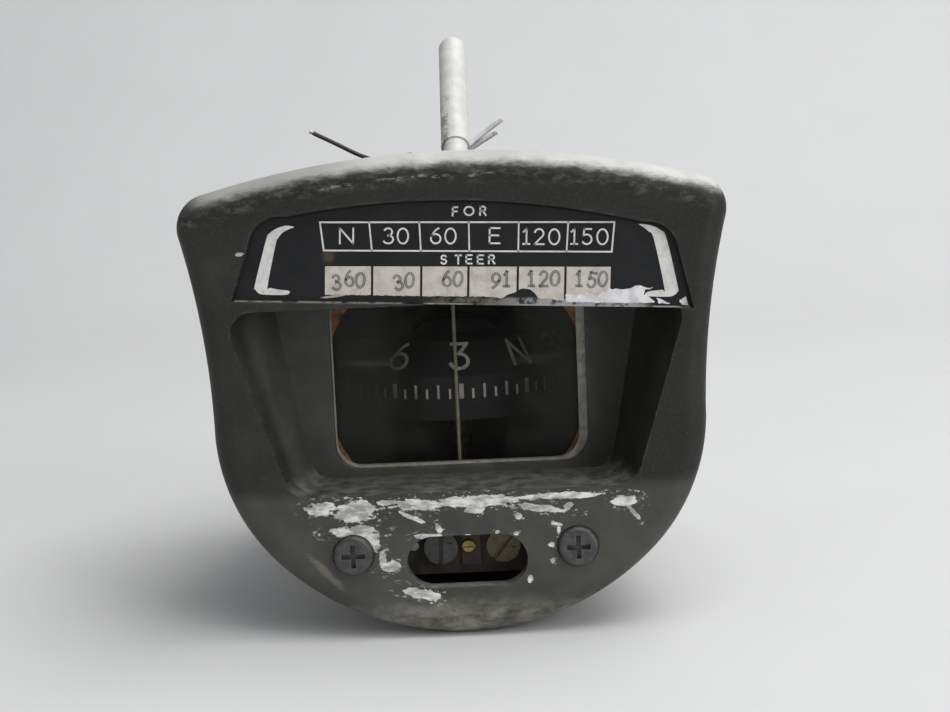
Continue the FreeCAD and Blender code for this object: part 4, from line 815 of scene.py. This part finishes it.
def make_label_print(finishes):
    lines = bmesh.new()
    corners = [Vector(c) for c in TABLE_CORNERS]
    stroke(lines, corners, FRAME_WIDTH, on_label, closed=True)
    for share in TABLE_BARS[1:-1]:
        bar = [corners[0].lerp(corners[1], share), corners[3].lerp(corners[2], share)]
        stroke(lines, bar, BAR_WIDTH, on_label)
    for text, u, v in HEADINGS:
        gap = 0.36 if len(text) > 2 else 0.30
        word(lines, text, u, v, HEADING_SIZE, PRINT_WIDTH, on_label, gap=gap)
    for sign, u, v in TITLES:
        glyph(lines, sign, u, v, TITLE_SIZE, PRINT_WIDTH, on_label)
    print_piece("card_frame_print", lines, finishes["print"])
    brackets = bmesh.new()
    plate(brackets, rounded(LEFT_BRACKET), on_label)
    plate(brackets, rounded(RIGHT_BRACKET), on_label)
    print_piece("card_bracket_print", brackets, finishes["print"])
    boxes = bmesh.new()
    span = BOX_RIGHT - BOX_LEFT
    for i, (a, b) in enumerate(zip(BOX_BARS, BOX_BARS[1:])):
        left = BOX_LEFT + a * span + (BOX_GAP / 2 if i else 0)
        right = BOX_LEFT + b * span - (BOX_GAP / 2 if i < 5 else 0)
        plate(boxes, box_outline(left, right, i), on_label)
    print_piece("card_boxes", boxes, finishes["boxes"])
    torn = bmesh.new()
    for i, outline in enumerate(TORN_PAINT):
        plate(torn, ragged(outline, 0.25, 0.09, TORN_SEED + i), on_label, 0.06)
    print_piece("card_torn_paint", torn, finishes["torn"])
    ink, core = bmesh.new(), bmesh.new()
    for sign, u, v, turn in WRITTEN:
        for shape, width, relief in ((ink, 0.42, 0.045), (core, 0.12, 0.05)):
            glyph(shape, sign, u, v, WRITTEN_SIZE, width, on_label, turn, relief, WRITTEN_SQUEEZE)
    print_piece("card_written_numbers", ink, finishes["ink"])
    print_piece("card_written_cores", core, finishes["ink_core"])


# Marks of the floating card

CARD_R, CARD_BEND, CARD_RIM, CARD_RIM_R = 23.2, 0.2, 5.8, 18.9
CARD_HEADING = 32.0
TICK_FOOT = -3.7
NUMERAL_MIDDLE, NUMERAL_SIZE, NUMERAL_WIDTH, N_SQUEEZE = 4.0, 4.9, 0.62, 0.72
NUMERALS = {0: "N", 30: ("flat 3",), 60: "6", 90: "E", 120: "12", 150: "15", 180: "S", 210: "21", 240: "24",
            270: "W", 300: ("3", "0"), 330: ("3", "3")}


def graduation_tree(material):
    """Node tree of the card's graduations: three rings of small upright bars on a cylinder."""
    tree = bpy.data.node_groups.new("card_graduations", "GeometryNodeTree")
    face = tree.interface
    face.new_socket("Geometry", in_out="OUTPUT", socket_type="NodeSocketGeometry")
    sizes = {"Radius": CARD_R / 1000, "Relief": 0.00008, "Fine Length": 0.0017, "Middle Length": 0.00245,
             "Main Length": 0.0026, "Fine Width": 0.00036, "Middle Width": 0.00040, "Main Width": 0.00076}
    for name in sizes:
        face.new_socket(name, in_out="INPUT", socket_type="NodeSocketFloat")
    given = tree.nodes.new("NodeGroupInput")
    joined = tree.nodes.new("GeometryNodeJoinGeometry")

    def math_node(operation, a, b):
        made = tree.nodes.new("ShaderNodeMath")
        made.operation = operation
        for socket, value in zip(made.inputs, (a, b)):
            if isinstance(value, bpy.types.NodeSocket):
                tree.links.new(value, socket)
            else:
                socket.default_value = value
        return made.outputs[0]

    for count, kind in ((72, "Fine"), (36, "Middle"), (12, "Main")):
        ring = tree.nodes.new("GeometryNodeMeshCircle")
        ring.inputs["Vertices"].default_value = count
        tree.links.new(given.outputs["Radius"], ring.inputs["Radius"])
        size = tree.nodes.new("ShaderNodeCombineXYZ")
        tree.links.new(math_node("MULTIPLY", given.outputs["Relief"], 2.0), size.inputs[0])
        tree.links.new(given.outputs[kind + " Width"], size.inputs[1])
        tree.links.new(given.outputs[kind + " Length"], size.inputs[2])
        bar = tree.nodes.new("GeometryNodeMeshCube")
        tree.links.new(size.outputs[0], bar.inputs["Size"])
        lift = tree.nodes.new("ShaderNodeCombineXYZ")
        tree.links.new(math_node("MULTIPLY", given.outputs[kind + " Length"], 0.5), lift.inputs[2])
        raised = tree.nodes.new("GeometryNodeTransform")
        tree.links.new(bar.outputs["Mesh"], raised.inputs["Geometry"])
        tree.links.new(lift.outputs[0], raised.inputs["Translation"])
        index = tree.nodes.new("GeometryNodeInputIndex")
        turn = tree.nodes.new("ShaderNodeCombineXYZ")
        tree.links.new(math_node("MULTIPLY", index.outputs[0], 2 * math.pi / count), turn.inputs[2])
        copies = tree.nodes.new("GeometryNodeInstanceOnPoints")
        tree.links.new(ring.outputs["Mesh"], copies.inputs["Points"])
        tree.links.new(raised.outputs[0], copies.inputs["Instance"])
        tree.links.new(turn.outputs[0], copies.inputs["Rotation"])
        tree.links.new(copies.outputs[0], joined.inputs[0])
    real = tree.nodes.new("GeometryNodeRealizeInstances")
    tree.links.new(joined.outputs[0], real.inputs[0])
    finish = tree.nodes.new("GeometryNodeSetMaterial")
    finish.inputs["Material"].default_value = material
    tree.links.new(real.outputs[0], finish.inputs["Geometry"])
    out = tree.nodes.new("NodeGroupOutput")
    tree.links.new(finish.outputs[0], out.inputs[0])
    return tree, sizes


def made_by_tree(name, tree, sizes):
    """Plain mesh from a node tree whose inputs are set by their identifiers."""
    carrier = bpy.data.objects.new(name + "_carrier", bpy.data.meshes.new(name + "_carrier"))
    bpy.context.scene.collection.objects.link(carrier)
    modifier = carrier.modifiers.new("tree", "NODES")
    modifier.node_group = tree
    for item in tree.interface.items_tree:
        if item.in_out == "INPUT" and item.name in sizes:
            modifier[item.identifier] = sizes[item.name]
    carrier.data.update()
    seen = carrier.evaluated_get(bpy.context.evaluated_depsgraph_get())
    data = bpy.data.meshes.new_from_object(seen)
    data.name = name
    bpy.data.objects.remove(carrier)
    made = bpy.data.objects.new(name, data)
    bpy.context.scene.collection.objects.link(made)
    return made


def on_cone(value):
    """Placing on the card's sloping band, with u to the right and v up the slope, round one heading."""
    slope = math.hypot(CARD_R - CARD_RIM_R, CARD_RIM - CARD_BEND)
    lean = math.atan2(CARD_R - CARD_RIM_R, CARD_RIM - CARD_BEND)

    def place(u, v, height):
        share = v / slope
        radius = CARD_R + (CARD_RIM_R - CARD_R) * share
        angle = math.radians(CARD_HEADING - value) + u / (CARD_R - 1.8)
        radius += height * math.cos(lean)
        z = CARD_BEND + (CARD_RIM - CARD_BEND) * share + height * math.sin(lean)
        return at(PIVOT.x + radius * math.sin(angle), PIVOT.y - radius * math.cos(angle), PIVOT.z + z)
    return place


def make_card_marks(finish_ticks, finish_numbers):
    tree, sizes = graduation_tree(finish_ticks)
    ticks = made_by_tree("card_graduations", tree, sizes)
    turn = Matrix.Rotation(math.radians(CARD_HEADING - 90), 4, "Z")
    foot = at(PIVOT.x, PIVOT.y, PIVOT.z + TICK_FOOT)
    ticks.data.transform(Matrix.Translation(foot) @ turn)
    numbers = bmesh.new()
    for value, text in NUMERALS.items():
        squeeze = N_SQUEEZE if text == "N" else 1.0
        word(numbers, text, 0, NUMERAL_MIDDLE, NUMERAL_SIZE, NUMERAL_WIDTH, on_cone(value), gap=0.24,
             relief=0.05, squeeze=squeeze)
    for made in (ticks, mesh_object("card_numerals", numbers, finish_numbers)):
        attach(made, "card")


# Leads

LEADS = {
    "black_lead": (0.4, "lead_black", [
        (-6.7, 38.6, 34.0), (-6.7, 38.6, 35.3), (-7.2, 39.9, 35.7), (-8.0, 42.6, 35.5), (-9.4, 47.4, 34.6),
        (-12.8, 51.8, 33.9), (-17.4, 52.8, 35.4), (-21.6, 52.4, 37.8), (-26.0, 51.6, 40.1)]),
    "white_lead_a": (0.5, "lead_white", [
        (-3.3, 38.6, 34.0), (-3.3, 38.6, 35.3), (-3.0, 40.1, 35.6), (-2.2, 43.6, 35.3), (-0.8, 48.6, 34.6),
        (0.7, 54.0, 34.4), (2.6, 58.4, 35.8), (5.6, 60.4, 38.1), (9.2, 61.6, 40.5)]),
    "white_lead_b": (0.5, "lead_white", [
        (-5.0, 38.6, 34.0), (-5.0, 38.6, 35.3), (-4.9, 40.2, 35.6), (-4.4, 44.0, 35.0), (-3.6, 49.8, 33.6),
        (-1.4, 55.2, 33.0), (1.4, 58.8, 34.2), (4.4, 60.2, 36.2), (8.0, 60.6, 38.2)]),
}


def make_strands(name, route, radius, finish):
    """Bare wires that stand a little out of a lead's cut end."""
    tip, before = at(*route[-1]), at(*route[-2])
    along = (tip - before).normalized()
    side = along.orthogonal().normalized()
    other = along.cross(side)
    shape = bmesh.new()
    wires, sides = 5, 6
    for k in range(wires):
        angle = 2 * math.pi * k / wires
        out = side * math.cos(angle) + other * math.sin(angle)
        start = tip - along * 0.0005 + out * radius * 0.45 / 1000
        end = tip + along * (0.0007 + 0.0001 * k) + out * radius * (0.5 + 0.12 * k) / 1000
        middle = start.lerp(end, 0.5) + out * 0.00003
        rings = []
        for place in (start, middle, end):
            ring = []
            for a in (2 * math.pi * i / sides for i in range(sides)):
                spoke = side * math.cos(a) + other * math.sin(a)
                ring.append(shape.verts.new(place + spoke * radius * 0.22 / 1000))
            rings.append(ring)
        for a, b in zip(rings, rings[1:]):
            for i in range(sides):
                shape.faces.new((a[i], a[(i + 1) % sides], b[(i + 1) % sides], b[i]))
        shape.faces.new(rings[0][::-1])
        shape.faces.new(rings[-1])
    made = mesh_object(name, shape, finish)
    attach(made, "case")
    return made


def make_leads(finishes):
    """Covers of the three free leads, each with bare wires at its cut end."""
    for name, (radius, finish, route) in LEADS.items():
        curve = bpy.data.curves.new(name + "_cover", "CURVE")
        curve.dimensions = "3D"
        curve.bevel_depth = radius / 1000
        curve.bevel_resolution = 4
        curve.use_fill_caps = True
        line = curve.splines.new("NURBS")
        line.points.add(len(route) - 1)
        for point, place in zip(line.points, route):
            point.co = (*at(*place), 1)
        line.order_u = 3
        line.use_endpoint_u = True
        line.resolution_u = 8
        lead = bpy.data.objects.new(name + "_cover", curve)
        bpy.context.scene.collection.objects.link(lead)
        curve.materials.append(finishes[finish])
        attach(lead, "case")
        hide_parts(name)
        ends = make_strands(name + "_strands", route, radius, finishes["strands"])


make_camera()
make_surroundings()
finishes = make_finishes()
make_leads(finishes)
dress_nodes(finishes)
make_label_print(finishes)
make_card_marks(finishes["ticks"], finishes["numerals"])
bpy.context.scene.view_settings.view_transform = "Standard"
